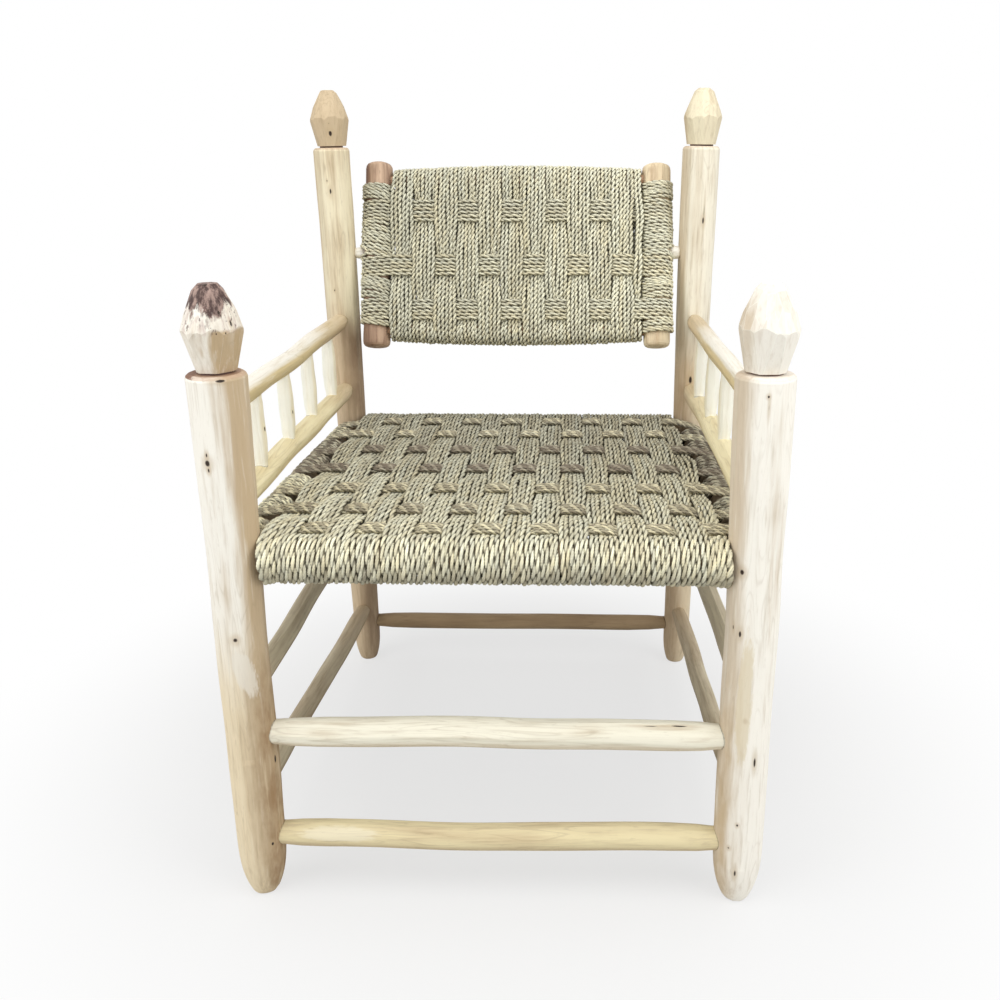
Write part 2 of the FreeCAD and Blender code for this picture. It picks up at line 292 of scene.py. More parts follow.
def tinted(colour, factor):
    """Colour made brighter or darker."""
    return [min(1.0, c * factor) for c in colour]


def halfway(first, second):
    """Colour halfway between two."""
    return [0.5 * (a + b) for a, b in zip(first, second)]


class Grain:
    """Place in a piece of wood, and the noises that its colour and its marks share."""

    def __init__(self, tree, place):
        self.spot = place(tree)
        own = Signal.make(tree, "ShaderNodeObjectInfo", out="Random")
        self.swirl = self.spot + own.node("ShaderNodeCombineXYZ", {0: own * 7.0, 1: own * 3.0, 2: own * 11.0})
        self.broad = self.drawn(0.07).noise(42.0, 3.0)
        self.band = self.drawn(0.07).noise(105.0, 3.0, 0.55)
        self.streak = self.drawn(0.07).noise(210.0, 4.0, 0.6)
        self.fine = self.drawn(0.03).noise(900.0, 2.0)
        self.fleck = self.drawn(0.22).noise(330.0, 3.0, 0.6)
        self.patch = self.swirl.noise(11.0, 2.0)
        self.across, self.beside, self.height = self.spot.parts()

    def drawn(self, squeeze):
        """Place squeezed lengthwise, which draws a noise out along the grain."""
        return self.swirl * (1.0, 1.0, squeeze)

    def uneven(self):
        """Drift that roughens the edge of painted shade."""
        return (self.broad - 0.5) * 0.5 + (self.band - 0.5) * 0.6


def painted_shade_side(grain, tone_and_shade, x, y, radius, amount, edge, top=PAST_ENDS):
    """Painted shade: the dark wood's share raised on the side towards (x, y), from edge outwards, and less so
    above top.
    """
    lean = (grain.across * x + grain.beside * y) / radius + grain.uneven()
    turned = lean.step(edge - 0.22, edge + 0.26) * (1.0 - lean.step(0.85, 1.20) * 0.25)
    turned = turned * (1.0 - grain.height.step(top - 0.002, top + 0.002) * 0.8)
    return tone_and_shade.maths("MAXIMUM", tone_and_shade, turned * amount)


def browned(grain, colour, radius, start, amount, reach, side, pale, deep, begin=-0.55):
    """Colour browned from start over reach along a stick, partly as a tone of the wood and partly as painted
    shade, with the painted shade deeper on one side, and how far it is browned.
    """
    share = (grain.height + (grain.patch - 0.5) * 0.15).step(start, start + reach) * amount
    mottle = grain.drawn(0.4).noise(70.0, 3.0, 0.6).step(0.35, 0.65)
    inner = grain.across * (side / radius) + grain.uneven()
    colour = colour.mix(pale, share)
    colour = colour.mix(deep, share * inner.step(begin, 0.75) * (mottle * 0.25 + 0.72))
    return colour.mix(pale, grain.band.step(0.45, 0.31) * share * 0.35), share


def scraped_patch(grain, colour, angle, middle_at, half_length, half_width, slant, paint, amount):
    """Colour with a patch of another colour at an angle round a stick."""
    turn = math.radians(angle)
    rise = (grain.height - middle_at) / half_length
    over = (grain.across * -math.sin(turn) + grain.beside * math.cos(turn)) / half_width + rise * slant
    spread = over * over + rise * rise + (grain.fleck - 0.5) * 1.8 + (grain.band - 0.5) * 1.8
    facing = (grain.across * math.cos(turn) + grain.beside * math.sin(turn)).step(0.0, 0.006)
    return colour.mix(paint, spread.step(1.25, 0.60) * facing * amount)


def shoulder_cut(grain, colour, top, chipped, ring_amount):
    """Colour of a post's shoulder: a ring by the saw cut, chips of bark if chipped, and the kerf painted dark
    as its shadow.
    """
    ring = grain.height.step(top - 0.0030, top - 0.0022)
    colour = colour.mix((0.56, 0.37, 0.26), ring * ring_amount)
    from_axis = (grain.spot * (1.0, 1.0, 0.0)).length() + (grain.fleck - 0.5) * 0.003
    colour = colour.mix((0.34, 0.20, 0.13), from_axis.step(0.0252, 0.0238) * ring * chipped * 0.85)
    chip = (grain.across / -0.03 + (grain.streak - 0.5) * 0.6).step(0.46, 0.62) * ring * chipped
    colour = colour.mix((0.24, 0.13, 0.085), chip)
    # Painted shadow in the kerf: the stub above the shoulder takes the bark colour
    return colour.mix(bpy.context.scene.chair_wood.bark, grain.height.step(top + 0.0002, top + 0.0004))


def bark_patch(grain, colour, relief, bottom, top, x, y):
    """Colour and relief with bark from bottom to top on the side towards (x, y), and red wood below."""
    bark = bpy.context.scene.chair_wood.bark

    def rough(squeeze, scale, detail, roughness=0.5):
        return (grain.spot * (1.0, 1.0, squeeze)).noise(scale, detail, roughness)

    facing = (grain.across * x + grain.beside * y) / 0.02
    edge = (grain.height - bottom) / (top - bottom) + facing * 0.5
    mask = (edge + (rough(0.35, 110.0, 4.0, 0.65) - 0.5) * 2.2).step(0.50, 0.86)
    ridge = ((grain.height - 0.5 * bottom) / (0.5 * bottom)).step(0.3, 0.6) * facing.step(-0.4, 0.6)
    colour = colour.mix((0.52, 0.38, 0.33), rough(0.12, 170.0, 3.0, 0.6).step(0.46, 0.66) * ridge * 0.55)
    tone = rough(0.22, 150.0, 4.0, 0.7)
    colour = colour.mix(tone.step(0.40, 0.60).between(tinted(bark, 0.55), (0.40, 0.28, 0.235)), mask)
    colour = colour.mix(bark, rough(0.6, 240.0, 2.0).step(0.62, 0.68) * ridge * 0.75)
    return colour, relief + tone * mask


def wood_material(name, light, dark, knots=(), warmth=0.5, figure=1.0, shade=None, low=None, rim=None,
                  bark=None, scraped=None, place=grain_place):
    """Peeled wood with long streaks, thin grain lines and short flecks.

    warmth is how much of it is dark and figure how strongly its streaks show. knots are (angle, height,
    radius, size, stretch). shade, low, rim, bark and scraped are the last arguments of painted_shade_side, browned,
    shoulder_cut, bark_patch and scraped_patch.
    """
    material, tree, shader = new_material(name, WOOD_SHINE)
    grain = Grain(tree, place)
    streak, fleck, fine = grain.streak, grain.fleck, grain.fine
    tone_and_shade = grain.broad * 0.40 + grain.band * 0.35 + grain.patch * 0.25 + (warmth - 0.5) * 0.5
    tone_and_shade = tone_and_shade.step(0.38, 0.66) * 0.75
    # Painted shade on one side of the stick
    if shade:
        tone_and_shade = painted_shade_side(grain, tone_and_shade, *shade)
    # facet: a whittled stroke's darker tone, partly painted shade
    tone_and_shade = tone_and_shade + own_value(tree, "facet")
    colour = tone_and_shade.maths("MINIMUM", tone_and_shade, 1.0).between(light, dark)
    bright, deep = streak.step(0.46, 0.30) * (0.35 * figure), streak.step(0.50, 0.74) * (0.34 * figure)
    # Browning along the stick, partly painted shade
    if low:
        colour, leg = browned(grain, colour, shade[2], *low)
        bright, deep = bright * (1.0 - leg * 0.75), deep * (leg * 0.5 + 1.0)
    rings = grain.drawn(0.09).noise(58.0, 1.0) * 11.0
    growth = rings.maths("PINGPONG", rings, 0.5).step(0.16, 0.0) * grain.patch.step(0.40, 0.62)
    colour = colour.mix(tinted(light, 1.06), bright)
    for share_of_dark, mask in ((0.78, deep), (0.62, fleck.step(0.56, 0.76) * (0.20 * figure)),
                                (0.66, growth * (0.26 * figure)),
                                (0.5, fine.step(0.60, 0.74) * (0.14 * figure)),
                                # Dark joint line where the stick enters a post, partly painted contact shadow
                                (0.30, own_value(tree, "entry").step(0.25, 0.95) * 0.80)):
        colour = colour.mix(tinted(dark, share_of_dark), mask)
    if scraped:
        colour = scraped_patch(grain, colour, *scraped)
    if rim:
        colour = shoulder_cut(grain, colour, *rim)
    relief = streak * 0.5 + fine * 0.3 + fleck * 0.5
    hearts = []
    for angle, height, radius, size, stretch in knots:
        turn = math.radians(angle)
        heart = (radius * math.cos(turn), radius * math.sin(turn), height)
        away = ((grain.spot - heart) * (1.0, 1.0, stretch)).length() / size + (fleck - 0.5) * 0.5
        hearts.append(away)
        colour = colour.mix(dark, away.step(4.2, 1.0) * 0.45)
        relief = relief - away.step(1.2, 0.6) * 2.0
    if bark:
        colour, relief = bark_patch(grain, colour, relief, *bark)
    for away in hearts:
        colour = colour.mix(bpy.context.scene.chair_wood.knot, away.step(1.25, 0.70))
    feed(tree, shader, Base_Color=colour, Roughness=streak * 0.2 + 0.52, Normal=relief.bump(0.45, 0.0006))
    return material


def cord_material(name):
    """Two-ply palm cord: dyed by its own values, which also carry painted light and shade, with painted shade
    in the groove and fine fibres along the plies.
    """
    colours = bpy.context.scene.chair_cord_colours
    material, tree, shader = new_material(name, CORD_SHINE)
    lay = own_value(tree, "lay", "Vector")
    brown, yellow, bright = own_value(tree, "dye_and_shade", "Vector").parts()
    fibre = (lay * (90.0, 16.0, 37.0)).noise(1.0, 4.0, 0.6)
    drift = (lay * (9.0, 1.2, 53.0)).noise(1.0, 2.0)
    blotch = (lay * (30.0, 2.0, 71.0)).noise(1.0, 2.0)
    colour = (yellow + (drift - 0.5) * 1.5).step(0.0, 1.0).between(colours.green, colours.straw)
    colour = colour.mix(colours.brown, (brown + (drift - 0.5) * 0.5).step(0.05, 1.0))
    colour = colour.mix(tinted(colours.brown, 0.8), blotch.step(0.60, 0.78) * 0.5)
    # bright carries painted light and shade, such as the seat's bright front roll and its shaded rear
    colour = colour.mix(bright * (fibre.step(0.25, 0.75) * 0.50 + 0.70), 1.0, "MULTIPLY")
    # Painted shade in the grooves between plies and along the cord's sides
    colour = colour.mix(colours.gap, own_value(tree, "ridge").step(0.85, 0.0) * 0.96)
    feed(tree, shader, Base_Color=colour, Roughness=fibre * 0.2 + 0.68, Normal=fibre.bump(0.6, 0.0008))
    return material


# Meshes from numbers

def unit(vector):
    """Vector of length one."""
    return vector / np.linalg.norm(vector)


def link_mesh(name, points, quads, caps=(), smooth=True):
    """Object from points, four-cornered faces and a few end faces."""
    mesh = bpy.data.meshes.new(name)
    quads = np.asarray(quads, np.int32)
    corners = np.concatenate([quads.reshape(-1)] + [np.asarray(cap, np.int32) for cap in caps])
    sizes = np.concatenate([np.full(len(quads), 4), [len(cap) for cap in caps]]).astype(np.int32)
    mesh.vertices.add(len(points))
    mesh.vertices.foreach_set("co", np.asarray(points, np.float32).reshape(-1))
    mesh.loops.add(len(corners))
    mesh.loops.foreach_set("vertex_index", corners.astype(np.int32))
    mesh.polygons.add(len(sizes))
    mesh.polygons.foreach_set("loop_start", (np.cumsum(sizes) - sizes).astype(np.int32))
    mesh.polygons.foreach_set("use_smooth", np.full(len(sizes), smooth))
    mesh.update(calc_edges=True)
    piece = bpy.data.objects.new(name, mesh)
    bpy.context.scene.collection.objects.link(piece)
    return piece


def set_points(piece, name, kind, values):
    """Attribute with one number or vector for each point."""
    attribute = piece.data.attributes.new(name, kind, "POINT")
    field = "vector" if kind == "FLOAT_VECTOR" else "value"
    attribute.data.foreach_set(field, np.asarray(values, np.float32).reshape(-1))


def tube_faces(rings, count, closed):
    """Faces between rings of points, as point numbers."""
    ring = np.arange(rings if closed else rings - 1)[:, None]
    spoke = np.arange(count)[None, :]
    after, beside = (ring + 1) % rings, (spoke + 1) % count
    faces = [ring * count + spoke, ring * count + beside, after * count + beside, after * count + spoke]
    return np.stack(faces, axis=-1).reshape(-1, 4)


def finish_piece(piece, body, material, slot, *nodes):
    """Give a piece its material and body and hide the CAD nodes it stands for; its finish slot is not used.
    """
    if material:
        piece.data.materials.append(material)
    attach(piece, body)
    if nodes:
        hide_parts(*nodes)
    return piece


def wander(rng, place, longest, size):
    """Slow random drift along a line."""
    total = np.zeros_like(place)
    for k in range(1, 5):
        wave = 2 * math.pi * k * rng.uniform(0.75, 1.25) / longest
        total += np.sin(place * wave + rng.uniform(0, 2 * math.pi)) / k
    return total * size / 1.6


# Shaved sticks

# ENTRY_WIDTH: width of the dark line where a stick enters a post, a dark joint that is partly painted contact
# shadow
RING_GAP, ENTRY_WIDTH = 0.006, 0.0010


def shaved_stick(name, start, end, outline, seed, bow=0.002, cuts=16, cut_depth=0.0012, spokes=72,
                 grips=()):
    """Round stick from start to end through (distance, radius) points, with long knife cuts and a slight bow.

    grips are the radii of the round pieces that hold its ends.
    """
    rng = np.random.default_rng(seed)
    start, end = np.array(start, float), np.array(end, float)
    length = np.linalg.norm(end - start)
    axis = unit(end - start)
    first = unit(np.cross(axis, (0, 1, 0) if abs(axis[1]) < 0.9 else (1, 0, 0)))
    first = np.array((1.0, 0.0, 0.0)) if abs(axis[2]) > 0.9 else first
    first = unit(first - axis * (first @ axis))
    second = np.cross(axis, first)
    knots = np.array(outline, float)
    place = [knots[0, 0]]
    for low, high in zip(knots[:-1, 0], knots[1:, 0]):
        steps = max(1, int(math.ceil((high - low) / RING_GAP)))
        place += list(low + (high - low) * np.arange(1, steps + 1) / steps)
    place = np.array(place)
    plain = np.interp(place, knots[:, 0], knots[:, 1])
    for k in np.flatnonzero(np.diff(knots[:, 0]) == 0):
        same = np.flatnonzero(place == knots[k, 0])
        plain[same[:2]] = knots[k:k + 2, 1]
    angle = np.arange(spokes) * 2 * math.pi / spokes
    radius = np.repeat(plain[:, None], spokes, axis=1)
    for k in (2, 3, 4):
        phase = wander(rng, place, 0.5, 1.5)[:, None] + rng.uniform(0, 6.28)
        radius *= 1 + rng.uniform(0.004, 0.016) * np.cos(k * angle[None, :] + phase)
    for _ in range(cuts):
        middle_at = rng.uniform(-0.05, length + 0.05)
        reach = rng.uniform(0.05, 0.20)
        depth = cut_depth * rng.uniform(0.35, 1.0) * np.clip(1.2 - ((place - middle_at) / reach) ** 2, -3, 1)
        depth = np.where(plain < 0.9 * plain.max(), np.minimum(depth, 0.0004), depth)
        turn = np.cos(angle[None, :] - rng.uniform(0, 2 * math.pi) - 0.3 * (place - middle_at)[:, None])
        flat = (plain - depth)[:, None] / np.maximum(turn, 0.2)
        radius = np.where(turn > 0.2, np.minimum(radius, flat), radius)
    sway = np.sin(np.clip(place / length, 0, 1) * math.pi)
    across, beside = (wander(rng, place, length * 1.3, bow) * sway for _ in range(2))
    a, b = radius * np.cos(angle), radius * np.sin(angle)
    points = (start + place[:, None] * axis)[:, None, :] + (a + across[:, None])[..., None] * first
    points = points + (b + beside[:, None])[..., None] * second
    rings = len(place)
    caps = [np.arange(spokes)[::-1], np.arange(spokes) + (rings - 1) * spokes]
    piece = link_mesh(name, points.reshape(-1, 3), tube_faces(rings, spokes, False), caps)
    grain = np.stack([a, b, np.repeat(place[:, None], spokes, axis=1)], axis=-1)
    set_points(piece, "grain", "FLOAT_VECTOR", grain)
    # entry: dark joint line where the stick meets what holds it, partly painted contact shadow
    near, aside = np.zeros_like(a), a if abs(axis[2]) > 0.9 else b
    for grip, end_at in zip(grips, (0.0, length)):
        skin = np.sqrt(np.clip(grip ** 2 - aside ** 2, 1e-9, None))
        near = np.maximum(near, np.exp(-np.abs(np.abs(place[:, None] - end_at) - skin) / ENTRY_WIDTH))
    set_points(piece, "entry", "FLOAT", near)
    piece.data.set_sharp_from_angle(angle=math.radians(160 / spokes + 6))
    return piece


def foot_outline(radius, flat, taper):
    """Blunt, rounded foot from its flat end up to the full leg."""
    heights = taper * np.linspace(0, 1, 14) ** 1.6
    sizes = flat + (radius - flat) * (1 - (1 - heights / taper) ** 3)
    return [(0.0, flat * 0.85), (0.0012, flat)] + [(h, r) for h, r in zip(heights, sizes) if h > 0.002]


def carved_top(name, foot, up, outline, counts, tints, seed, woods):
    """Pointed top whittled with a knife: a block cut by rows of flat strokes.

    outline is (radius, height) points, with one row of strokes between each two. tints is how much the
    strokes differ in colour under and over the widest place, partly as wood tone and partly as painted shade,
    and woods are for the strokes and the edges.
    """
    rng = np.random.default_rng(seed)
    height = outline[-1][1]
    widest = max(radius for radius, _ in outline)
    shape = bmesh.new()
    bmesh.ops.create_cone(shape, cap_ends=True, segments=64, radius1=widest * 1.01, radius2=widest * 1.01,
                          depth=height, matrix=Matrix.Translation((0, 0, height / 2)))
    for count, (low_r, low_h), (high_r, high_h) in zip(counts, outline, outline[1:]):
        lean = math.atan2(low_r - high_r, high_h - low_h)
        first = rng.uniform(0, 1)
        for k in range(count):
            turn = (k + first + rng.uniform(-0.28, 0.28)) * 2 * math.pi / count
            slope = lean + rng.uniform(-0.06, 0.06)
            cos, sin = math.cos(turn), math.sin(turn)
            out = Vector((cos * math.cos(slope), sin * math.cos(slope), math.sin(slope)))
            reach = (low_r + high_r) / 2 * (1 - rng.uniform(0.0, 0.035))
            place = Vector((cos * reach, sin * reach, (low_h + high_h) / 2))
            whole = shape.verts[:] + shape.edges[:] + shape.faces[:]
            cut = bmesh.ops.bisect_plane(shape, geom=whole, dist=1e-6, plane_co=place, plane_no=out,
                                         clear_outer=True)
            rim = [item for item in cut["geom_cut"] if isinstance(item, bmesh.types.BMEdge)]
            if len(rim) > 2:
                bmesh.ops.contextual_create(shape, geom=rim)
    bmesh.ops.remove_doubles(shape, verts=shape.verts[:], dist=0.0002)
    strips = bmesh.ops.bevel(shape, geom=shape.edges[:], offset=0.0005, segments=1, affect="EDGES",
                             clamp_overlap=True)
    for face in strips["faces"]:
        face.material_index = 1
    bmesh.ops.recalc_face_normals(shape, faces=shape.faces[:])
    mesh = bpy.data.meshes.new(name)
    shape.to_mesh(mesh)
    shape.free()
    # Each stroke gets a random darker tone, partly wood tone and partly painted shade
    facets = mesh.attributes.new("facet", "FLOAT", "FACE")
    for face, facet in zip(mesh.polygons, facets.data):
        strong = tints[0] if face.center.z < outline[1][1] else tints[1]
        facet.value = 0.0 if face.material_index else strong * rng.random()
    piece = bpy.data.objects.new(name, mesh)
    bpy.context.scene.collection.objects.link(piece)
    set_points(piece, "grain", "FLOAT_VECTOR", [tuple(v.co) for v in mesh.vertices])
    turn = Vector((0, 0, 1)).rotation_difference(Vector(up))
    mesh.transform(Matrix.Translation(Vector(foot)) @ turn.to_matrix().to_4x4())
    for wood in woods:
        mesh.materials.append(wood)
    return piece


# Twisted cord

PLY_OUTLINE = np.array([(0.97, -0.28), (0.97, 0.28), (0.56, 0.66), (0.0, 0.50), (-0.56, 0.66),
                        (-0.97, 0.28), (-0.97, -0.28), (-0.56, -0.66), (0.0, -0.50), (0.56, -0.66)])
# How high each point of the ply outline stands; the cord material paints shade where it is low
PLY_RIDGE = np.array([1.0, 1.0, 0.90, 0.35, 0.90, 1.0, 1.0, 0.90, 0.35, 0.90])
RINGS_IN_TWIST, LINE_STEP, WEAVE_END = 10, 0.002, 0.012
CORD_WAVE, STEPS_IN_COIL = 0.05, 40


def even_line(points, closed, step):
    """The same line with evenly spaced points."""
    points = np.asarray(points, float)
    if closed:
        points = np.vstack([points, points[:1]])
    run = np.concatenate([[0], np.cumsum(np.linalg.norm(np.diff(points, axis=0), axis=1))])
    count = max(8, int(round(run[-1] / step)))
    wanted = np.arange(count) * run[-1] / count if closed else np.linspace(0, run[-1], count + 1)
    line = np.stack([np.interp(wanted, run, points[:, k]) for k in range(3)], axis=1)
    return line, run[-1]


def soften(line, closed, passes):
    """Line with its corners eased."""
    for _ in range(passes):
        before, after = np.roll(line, 1, axis=0), np.roll(line, -1, axis=0)
        eased = 0.25 * before + 0.5 * line + 0.25 * after
        if not closed:
            eased[0], eased[-1] = line[0], line[-1]
        line = eased
    return line


def periodic_wander(rng, count, waves, size):
    """Slow random drift that closes on itself over a loop."""
    turn = np.arange(count) * 2 * math.pi / count
    total = np.zeros(count)
    for _ in range(4):
        wave = int(rng.integers(max(1, waves // 2), waves + 2))
        total += np.sin(turn * wave + rng.uniform(0, 2 * math.pi))
    return total * size / 2


def strip_uvs(number, total, rings, count, closed):
    """Corners of one cord's faces on the bake map, in a strip of its own."""
    step = np.arange(rings if closed else rings - 1)
    low_u, high_u = np.repeat(step / rings, count), np.repeat((step + 1) / rings, count)
    row = np.tile(np.arange(count), len(step)) / count
    low_v = (number + 0.04 + 0.92 * row) / total
    high_v = (number + 0.04 + 0.92 * (row + 1 / count)) / total
    corners = [low_u, low_v, low_u, high_v, high_u, high_v, high_u, low_v]
    return np.stack(corners, axis=1).reshape(-1, 2)


def twisted_cords(name, cords, lay, width, seed, fuller=None, strand=0.07):
    """Mesh of two-ply cords. Each is (line, steady side vector, closed, colour values with any painted light
    and shade, or a function of place that gives them).

    fuller gives how much thicker a cord is at each place, and strand is how much its two plies differ.
    """
    rng = np.random.default_rng(seed)
    count = len(PLY_OUTLINE)
    points, faces, caps, lays, dyes_and_shades, ridges, uvs = [], [], [], [], [], [], []
    start = 0
    for number, (path, side, closed, dye_and_shade) in enumerate(cords):
        line, length = even_line(path, closed, lay / RINGS_IN_TWIST)
        line = soften(line, closed, 3)
        rings = len(line)
        waves = max(2, int(length / CORD_WAVE))
        ahead = np.gradient(line, axis=0)
        if closed:
            ahead = np.roll(line, -1, axis=0) - np.roll(line, 1, axis=0)
        run = ahead / np.linalg.norm(ahead, axis=1)[:, None]
        first = np.asarray(side, float) - run * (run @ np.asarray(side, float))[:, None]
        first /= np.linalg.norm(first, axis=1)[:, None]
        second = np.cross(run, first)
        turns = max(1, round(length / lay)) if closed else length / lay
        share = np.arange(rings) / rings
        phase = 2 * math.pi * turns * share + rng.uniform(0, 2 * math.pi)
        phase += periodic_wander(rng, rings, waves // 2 + 1, 0.5)
        radius = width / 2 * (1 + periodic_wander(rng, rings, waves, 0.05)) * rng.uniform(0.96, 1.05)
        radius = radius * fuller(line) if fuller else radius
        line = line + first * periodic_wander(rng, rings, waves, 0.00035)[:, None]
        line = line + second * periodic_wander(rng, rings, waves, 0.0003)[:, None]
        x, y = PLY_OUTLINE[:, 0][None, :], PLY_OUTLINE[:, 1][None, :]
        cos, sin = np.cos(phase)[:, None], np.sin(phase)[:, None]
        out_first = (x * cos - y * sin) * radius[:, None]
        out_second = (x * sin + y * cos) * radius[:, None]
        ring = line[:, None, :] + out_first[..., None] * first[:, None, :]
        ring = ring + out_second[..., None] * second[:, None, :]
        points.append(ring.reshape(-1, 3))
        faces.append(tube_faces(rings, count, closed) + start)
        spread = np.arange(count) / count
        marks = np.broadcast_arrays(share[:, None] * length, spread[None, :], rng.uniform(0, 9))
        lays.append(np.stack(marks, axis=-1).reshape(-1, 3))
        first_ply = PLY_OUTLINE[:, 0] > 0
        ply = np.where(first_ply, 1 - strand * rng.uniform(0.5, 1), 1 + strand * rng.uniform(0.5, 1))
        tint = np.empty((rings, count, 3))
        tint[:] = (dye_and_shade(line) if callable(dye_and_shade) else np.asarray(dye_and_shade, float)[None, :])[:, None, :]
        tint[..., 0] += strand * first_ply[None, :]
        tint[..., 2] *= ply[None, :]
        dyes_and_shades.append(tint.reshape(-1, 3))
        # ridge is low along the cord's sides and in the valley between plies, where the cord material paints
        # shade
        raised = np.clip(np.abs(out_second) / (0.62 * radius[:, None]), 0, 1)
        ridges.append((PLY_RIDGE[None, :] * raised * raised * (3 - 2 * raised)).reshape(-1))
        uvs.append(strip_uvs(number, len(cords), rings, count, closed))
        if not closed:
            caps += [np.arange(count)[::-1] + start, np.arange(count) + start + (rings - 1) * count]
        start += rings * count
    piece = link_mesh(name, np.concatenate(points), np.concatenate(faces), caps)
    set_points(piece, "lay", "FLOAT_VECTOR", np.concatenate(lays))
    set_points(piece, "dye_and_shade", "FLOAT_VECTOR", np.concatenate(dyes_and_shades))
    set_points(piece, "ridge", "FLOAT", np.concatenate(ridges))
    layer = piece.data.uv_layers.new(name="OFBake")
    flat = np.zeros((len(piece.data.loops), 2), np.float32)
    corner_uvs = np.concatenate(uvs)
    flat[:len(corner_uvs)] = corner_uvs
    layer.uv.foreach_set("vector", flat.reshape(-1))
    return piece


def over_and_under(place, stations, signs, hold, ends):
    """Weave height from -1 to 1 along a line, level for a while at each crossing."""
    knots, heights = [ends[0]], [0.0]
    for station, sign in zip(stations, signs):
        knots += [station - hold, station + hold]
        heights += [sign, sign]
    knots.append(ends[1])
    heights.append(0.0)
    knots, heights = np.array(knots), np.array(heights)
    order = np.argsort(knots)
    knots, heights = knots[order], heights[order]
    k = np.clip(np.searchsorted(knots, place, side="right") - 1, 0, len(knots) - 2)
    share = np.clip((place - knots[k]) / np.maximum(knots[k + 1] - knots[k], 1e-9), 0, 1)
    return heights[k] + (heights[k + 1] - heights[k]) * share * share * (3 - 2 * share)


def round_two_rails(first, second, radius):
    """Loop round two rails in a plane, along the top face and back along the low one.

    It has places, outward directions, face (1 top, -1 low, 0 round a rail), station from the first rail, span
    between the rails, and under, which goes from 0 on the top face to 1 on the low one.
    """
    first, second = np.array(first, float), np.array(second, float)
    run = unit(second - first)
    up = np.array((-run[1], run[0]))
    span = np.linalg.norm(second - first)
    along = np.arange(0, span, LINE_STEP)
    bend = np.radians(np.arange(0, 180, 7.5))
    level = np.tile(up, (len(along), 1))
    out = np.cos(bend)[:, None] * up + np.sin(bend)[:, None] * run
    outward = np.concatenate([level, out, -level, -out])
    station = np.concatenate([along, np.full(len(bend), span), span - along, np.zeros(len(bend))])
    face = np.repeat((1, 0, -1, 0), (len(along), len(bend), len(along), len(bend)))
    places = first + station[:, None] * run + outward * radius
    under = np.where(face == 1, 0.0, np.where(face == -1, 1.0, np.clip((1 - outward[:, 1]) / 2, 0, 1)))
    return SimpleNamespace(places=places, outward=outward, face=face, station=station, span=span, under=under)


def weave_round(loop, stops, signs, hold):
    """Weave height along a loop, turned over on its low face."""
    weave = np.zeros(len(loop.face))
    for face in (1, -1):
        here = loop.face == face
        weave[here] = over_and_under(loop.station[here], stops, face * signs, hold, (0.0, loop.span))
    return weave


def cross_sign(group, row):
    """1 where a row of cross cords lies over a group of long cords, and -1 where it lies under."""
    return 1.0 if (group + row) % 2 == 1 else -1.0


def group_centres(start, pitch, counts):
    """Middle of each group of cords laid side by side from start."""
    return np.array([start + pitch * (sum(counts[:g]) + counts[g] / 2) for g in range(len(counts))])


def touch_angle(centre, radius, corner, turn):
    """Angle on a circle where a line from an outside corner touches it."""
    away = np.asarray(corner) - np.asarray(centre)
    return math.atan2(away[1], away[0]) + turn * math.acos(min(1.0, radius / np.linalg.norm(away)))


def band_round(high, low, side, rail, radius, wrap):
    """Part of a cross cord that goes round a rail on one side, from a high corner to a low one."""
    begin = touch_angle(rail, radius, (side * high[0], high[1]), -1)
    end = touch_angle(rail, radius, (side * low[0], low[1]), 1) % (2 * math.pi) - 2 * math.pi
    turn = np.linspace(begin, end, 30)
    across, out = rail[0] + radius * np.cos(turn), rail[1] + radius * np.sin(turn)
    return np.stack([side * across, out, np.full(len(turn), wrap)], axis=1)


def band_loop(upper, under, rail, radius, wrap, eases):
    """Cross cord as (across, out, along): over the top face, round a rail, back below and round the other."""
    right = band_round(upper[-1], under[0], 1, rail, radius, wrap)
    left = band_round(upper[0], under[-1], -1, rail, radius, wrap)[::-1]
    line, _ = even_line(np.concatenate([upper, right, under, left]), True, LINE_STEP)
    return soften(line, True, eases)


# Places of the frame's lines

def front_line(side, z):
    """Point at height z on the axis of a front post."""
    return np.array((side * bpy.context.scene.chair_posts.front_x, FRONT_RAIL.y, z))


def rear_line(side, z):
    """Point at height z on the axis of a rear post."""
    sizes = bpy.context.scene.chair_posts
    x = sizes.rear_foot_x + (sizes.rear_top_x - sizes.rear_foot_x) * z / sizes.rear_shoulder
    return np.array((side * x, REAR_RAIL.y, z))


def stick_outline(length, start_grip, end_grip, tenon, middle_r, taper):
    """Stick that swells from its tenons to its middle."""
    swell = 0.5 * (tenon + middle_r) + 0.18 * (middle_r - tenon)
    near = [(start_grip + 0.001 * k, tenon) for k in range(-6, 4)]
    far = [(length - end_grip - 0.001 * k, tenon) for k in range(3, -7, -1)]
    return [(0.0, tenon)] + near + [(start_grip + taper * 0.4, swell), (start_grip + taper, middle_r),
                                    (length - end_grip - taper, middle_r),
                                    (length - end_grip - taper * 0.4, swell)] + far + [(length, tenon)]


def lay_stick(node, start, end, grips, tenon, middle_r, taper, material, seed, **looks):
    """Shaved stick in the place of a CAD stick."""
    length = float(np.linalg.norm(np.array(end) - np.array(start)))
    outline = stick_outline(length, grips[0], grips[1], tenon, middle_r, taper)
    piece = shaved_stick(f"{node}_wood", start, end, outline, seed, grips=grips, **looks)
    slot = "brown_wood" if node == "back_stretcher" else "pale_wood"
    return finish_piece(piece, "frame", material, slot, node)


# Wooden pieces

